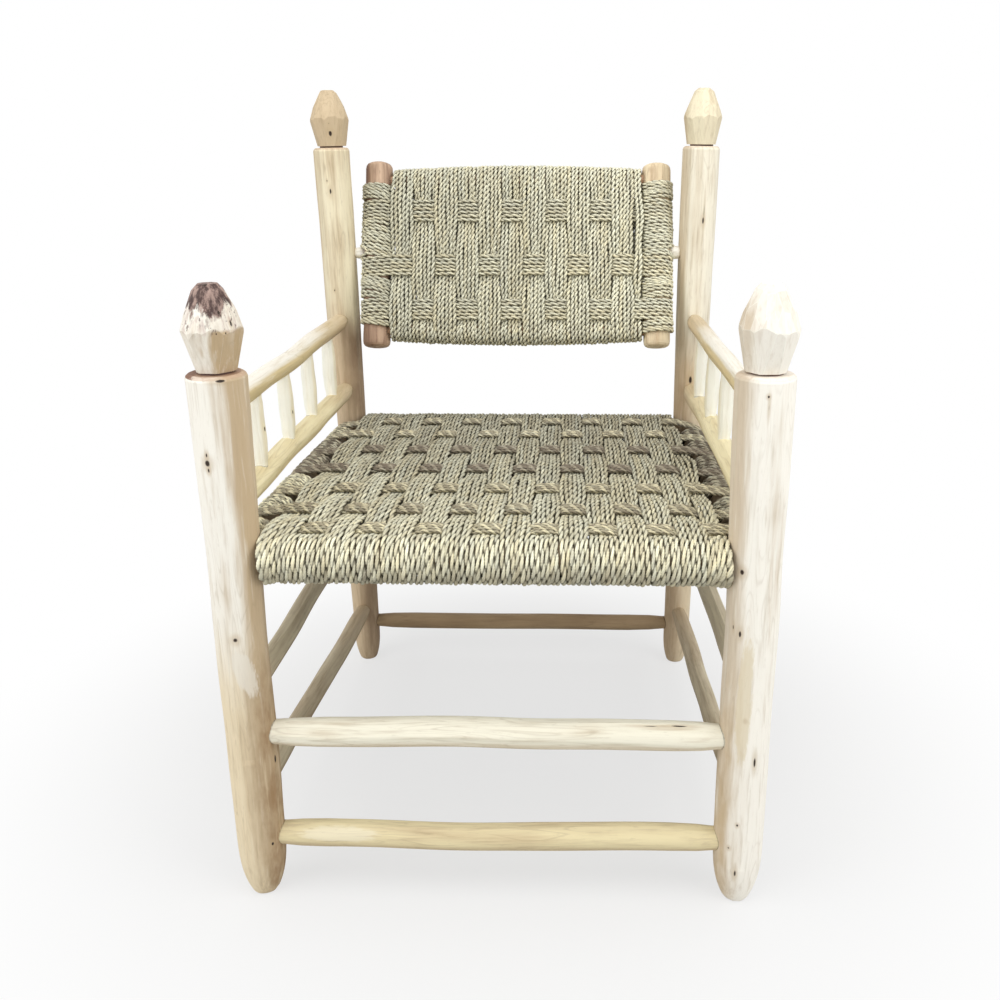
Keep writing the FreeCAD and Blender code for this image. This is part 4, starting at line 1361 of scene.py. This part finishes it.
def back_cross_cords(sizes, plan, rng):
    """Bands of cords that run side to side, woven through the upright ones and round the stiles."""
    lift = sizes.width - sizes.lift + 0.0004
    x = np.linspace(-BACK_HALF, BACK_HALF, 200)
    cords = []
    for row, (up, gap, drop) in enumerate(BACK_BANDS):
        signs = np.array([cross_sign(group, row) for group in range(len(plan.counts))])
        signs[-1] = -1.0 if row == 0 else signs[-1]
        ends = (-BACK_HALF - WEAVE_END, BACK_HALF + WEAVE_END)
        rise = over_and_under(x, plan.centres, signs, BACK_CROSS_HOLD, ends) * lift
        for lane in range(BACK_LANES):
            shift = lane - (BACK_LANES - 1) / 2
            level, wrap = np.full_like(x, up + shift * gap), up + shift * STILE_GAP - drop
            ahead = np.stack([x, plan.radius + rise, level], axis=1)
            behind = np.stack([x, -plan.radius + rise, level], axis=1)[::-1]
            line = band_loop(ahead, behind, (STILE_X, 0.0), plan.stile_r, wrap, 10)
            base = (0.05 + 0.12 * rng.random(), 0.25 + 0.4 * rng.random(), rng.uniform(0.88, 1.02))
            cords.append((back_place(*line.T), UP_STILE, True, partial(back_dye, base)))
    return cords


def stile_windings(plan, word, rng):
    """Coils round a stile above, between and below the bands of cross cords, kept clear of the peg."""
    side, stile_r, half_band = SIDES[word], plan.stile_r, 2.5 * STILE_GAP + WRAP_EDGE
    wraps = [up - drop for up, _, drop in BACK_BANDS]
    tops = [WINDING_ENDS[word][0]] + [wrap - half_band for wrap in wraps]
    lows = [wrap + half_band for wrap in wraps] + [WINDING_ENDS[word][1]]
    coils = []
    for high, low in zip(tops, lows):
        if high - low < 0.001:
            continue
        high, low = high + 0.0022, low - 0.0022
        turns = int(round((high - low) / STILE_GAP)) + 1
        share = np.linspace(0, 1, turns * STEPS_IN_COIL)
        middling = np.sin(share * math.pi)
        turn = -0.25 * math.pi + 2 * math.pi * turns * share
        up = high + (low - high) * share
        up = up + (0.0016 * np.sin(share * 2 * math.pi * turns + 1.2 + high * 40)
                   + 0.0010 * np.sin(share * 9 + high * 70)) * middling
        up = up + WINDING_SLANT[word] * middling ** 0.6 * side * stile_r * np.cos(turn)
        forward = stile_r * np.sin(turn)
        clear = 0.0102 * np.sqrt(np.clip(1 - (forward / 0.0165) ** 2, 0, None)) * (np.cos(turn) > 0)
        pushed = np.where(up >= 0, np.maximum(up, clear), np.minimum(up, -clear))
        wide = stile_r + 0.22 * np.abs(pushed - up) + 0.0004 * np.sin(share * 23 + high * 50)
        line = back_place(side * (STILE_X + wide * np.cos(turn)), wide * np.sin(turn), pushed)
        dye_and_shade = (0.10, rng.uniform(0.25, 0.6), back_tone(side * BACK_HALF) * rng.uniform(0.9, 1.0))
        coils.append((line, UP_STILE, False, dye_and_shade))
    return coils


class CHAIR_OT_back_cord(Operator):
    """Woven back: upright cords round the cross rails and cross cords round the stiles"""
    bl_idname = "chair.back_cord"
    bl_label = "Back cord"

    def execute(self, context):
        sizes, palm = context.scene.chair_cord, cord_material("back_palm_cord")
        plan, rng = back_plan(sizes), np.random.default_rng(11)
        cords = back_long_cords(sizes, plan, rng)
        third = len(cords) // 3
        for part, chosen in (("left", cords[:third]), ("middle", cords[third:2 * third]),
                             ("right", cords[2 * third:])):
            piece = twisted_cords(f"back_long_cords_{part}", chosen, sizes.back_lay, sizes.width * 1.08, 70,
                                  back_fullness)
            finish_piece(piece, "tilting_back", palm, "palm_cord", "woven_back")
        piece = twisted_cords("back_cross_cords", back_cross_cords(sizes, plan, rng), sizes.winding_lay,
                              sizes.width * 0.98, 80)
        finish_piece(piece, "tilting_back", palm, "palm_cord", "woven_back")
        for word, side in SIDES.items():
            coils = stile_windings(plan, word, rng)
            piece = twisted_cords(f"{word}_stile_cord", coils, sizes.winding_lay, sizes.width, 90 + side)
            finish_piece(piece, "tilting_back", palm, "palm_cord", f"{word}_stile_lashing")
        return {"FINISHED"}


# Stage

FLOOR_SIZE, FLOOR_PLACE = 14.0, (0, 3.0, -0.0004)
LAMP_AIM = (0, 0, 0.4)
# Lamps: name, place, size and share of the power
LAMPS = (("left_lamp", (-2.0, -1.3, 1.5), 1.8, 1.0), ("right_lamp", (2.0, -1.2, 1.6), 1.8, 1.0),
         ("top_lamp", (0.1, -0.6, 2.4), 1.6, 0.8))
CAMERA_PLACE, CAMERA_LENS, CAMERA_SENSOR = (0.0801, -1.2882, 0.8401), 36.585, 36.0
CAMERA_RIGHT, CAMERA_AHEAD = (0.99958, 0.02858, -0.00469), (-0.02871, 0.95684, -0.28921)
CAMERA_SHIFT = (-0.0399, -0.0512)


class CHAIR_OT_stage(Operator):
    """Floor, soft light, white surround and the camera"""
    bl_idname = "chair.stage"
    bl_label = "Stage"

    def execute(self, context):
        scene, looks = context.scene, context.scene.chair_stage
        self.add_floor(context, looks)
        self.add_surround(scene, looks)
        for name, place, size, share in LAMPS:
            lamp = bpy.data.lights.new(name, "AREA")
            lamp.size = size
            lamp.energy = looks.lamp * share
            item = bpy.data.objects.new(name, lamp)
            item.location = place
            item.rotation_euler = (Vector(LAMP_AIM) - Vector(place)).to_track_quat("-Z", "Y").to_euler()
            scene.collection.objects.link(item)
        self.add_camera(scene)
        scene.view_settings.view_transform = "Standard"
        return {"FINISHED"}

    def add_floor(self, context, looks):
        """Floor that takes shadows and brightens to white away from the chair."""
        bpy.ops.mesh.primitive_plane_add(size=FLOOR_SIZE, location=FLOOR_PLACE)
        floor = context.active_object
        floor.name = "floor"
        material, tree, shader = new_material("floor_paint", 0.0)
        shader.inputs["Base Color"].default_value = (*looks.floor, 1.0)
        shader.inputs["Roughness"].default_value = 0.9
        seen = Signal.make(tree, "ShaderNodeLightPath", out="Is Camera Ray")
        place = Signal.make(tree, "ShaderNodeNewGeometry", out="Position")
        away = (place * (1.0, 1.0, 0.0)).length().step(0.30, 0.85)
        glow = Signal.make(tree, "ShaderNodeEmission")
        both = glow.node("ShaderNodeMixShader", {0: seen * (away * 0.35 + 0.65), 1: Signal(shader.outputs[0]),
                                                 2: glow})
        tree.links.new(both.socket, tree.nodes["Material Output"].inputs["Surface"])
        floor.data.materials.append(material)

    def add_surround(self, scene, looks):
        """Even light all round, seen as white."""
        scene.world = bpy.data.worlds.new("studio")
        scene.world.use_nodes = True
        tree = scene.world.node_tree
        camera, glossy, through = (Signal.make(tree, "ShaderNodeLightPath", out=f"Is {ray} Ray")
                                   for ray in ("Camera", "Glossy", "Transmission"))
        seen = camera.maths("MAXIMUM", camera.maths("MAXIMUM", camera, glossy), through)
        background = tree.nodes["Background"]
        tree.links.new((seen * (1.0 - looks.sky) + looks.sky).socket, background.inputs["Strength"])
        background.inputs["Color"].default_value = (1, 1, 1, 1)

    def add_camera(self, scene):
        """Camera of the reference view."""
        camera = bpy.data.cameras.new("photo_camera")
        camera.sensor_width = CAMERA_SENSOR
        camera.lens = CAMERA_LENS
        camera.shift_x, camera.shift_y = CAMERA_SHIFT
        item = bpy.data.objects.new("photo_camera", camera)
        right, ahead = Vector(CAMERA_RIGHT).normalized(), Vector(CAMERA_AHEAD).normalized()
        turn = Matrix((right, right.cross(ahead), -ahead)).transposed().to_4x4()
        item.matrix_world = Matrix.Translation(CAMERA_PLACE) @ turn
        scene.collection.objects.link(item)
        scene.camera = item


# Sidebar and registration

class CHAIR_PT_pieces(Panel):
    """Sidebar list of the chair's pieces"""
    bl_idname = "CHAIR_PT_pieces"
    bl_label = "Woven Palm Chair"
    bl_space_type = "VIEW_3D"
    bl_region_type = "UI"
    bl_category = "Chair"

    def draw(self, context):
        for operator in OPERATORS:
            self.layout.operator(operator.bl_idname)
        for name in SETTINGS:
            group = getattr(context.scene, name)
            box = self.layout.box()
            for key in group.__annotations__:
                box.prop(group, key)


SETTINGS = {"chair_posts": ChairPostSizes, "chair_cord": ChairCordSizes, "chair_wood": ChairWoodColours,
            "chair_cord_colours": ChairCordColours, "chair_stage": ChairStage}
OPERATORS = (CHAIR_OT_posts, CHAIR_OT_stretchers, CHAIR_OT_arms, CHAIR_OT_seat_cord, CHAIR_OT_back_frame,
             CHAIR_OT_back_cord, CHAIR_OT_stage)


def register():
    """Add the settings, operators and panel."""
    for item in (*SETTINGS.values(), *OPERATORS, CHAIR_PT_pieces):
        bpy.utils.register_class(item)
    for name, group in SETTINGS.items():
        setattr(bpy.types.Scene, name, PointerProperty(type=group))


def unregister():
    """Take them away again."""
    for name in SETTINGS:
        delattr(bpy.types.Scene, name)
    for item in reversed((*SETTINGS.values(), *OPERATORS, CHAIR_PT_pieces)):
        bpy.utils.unregister_class(item)


def main():
    """Build the whole chair and its stage."""
    register()
    bpy.ops.chair.posts()
    bpy.ops.chair.stretchers()
    bpy.ops.chair.arms()
    bpy.ops.chair.seat_cord()
    bpy.ops.chair.back_frame()
    bpy.ops.chair.back_cord()
    bpy.ops.chair.stage()


if __name__ == "__main__":
    main()
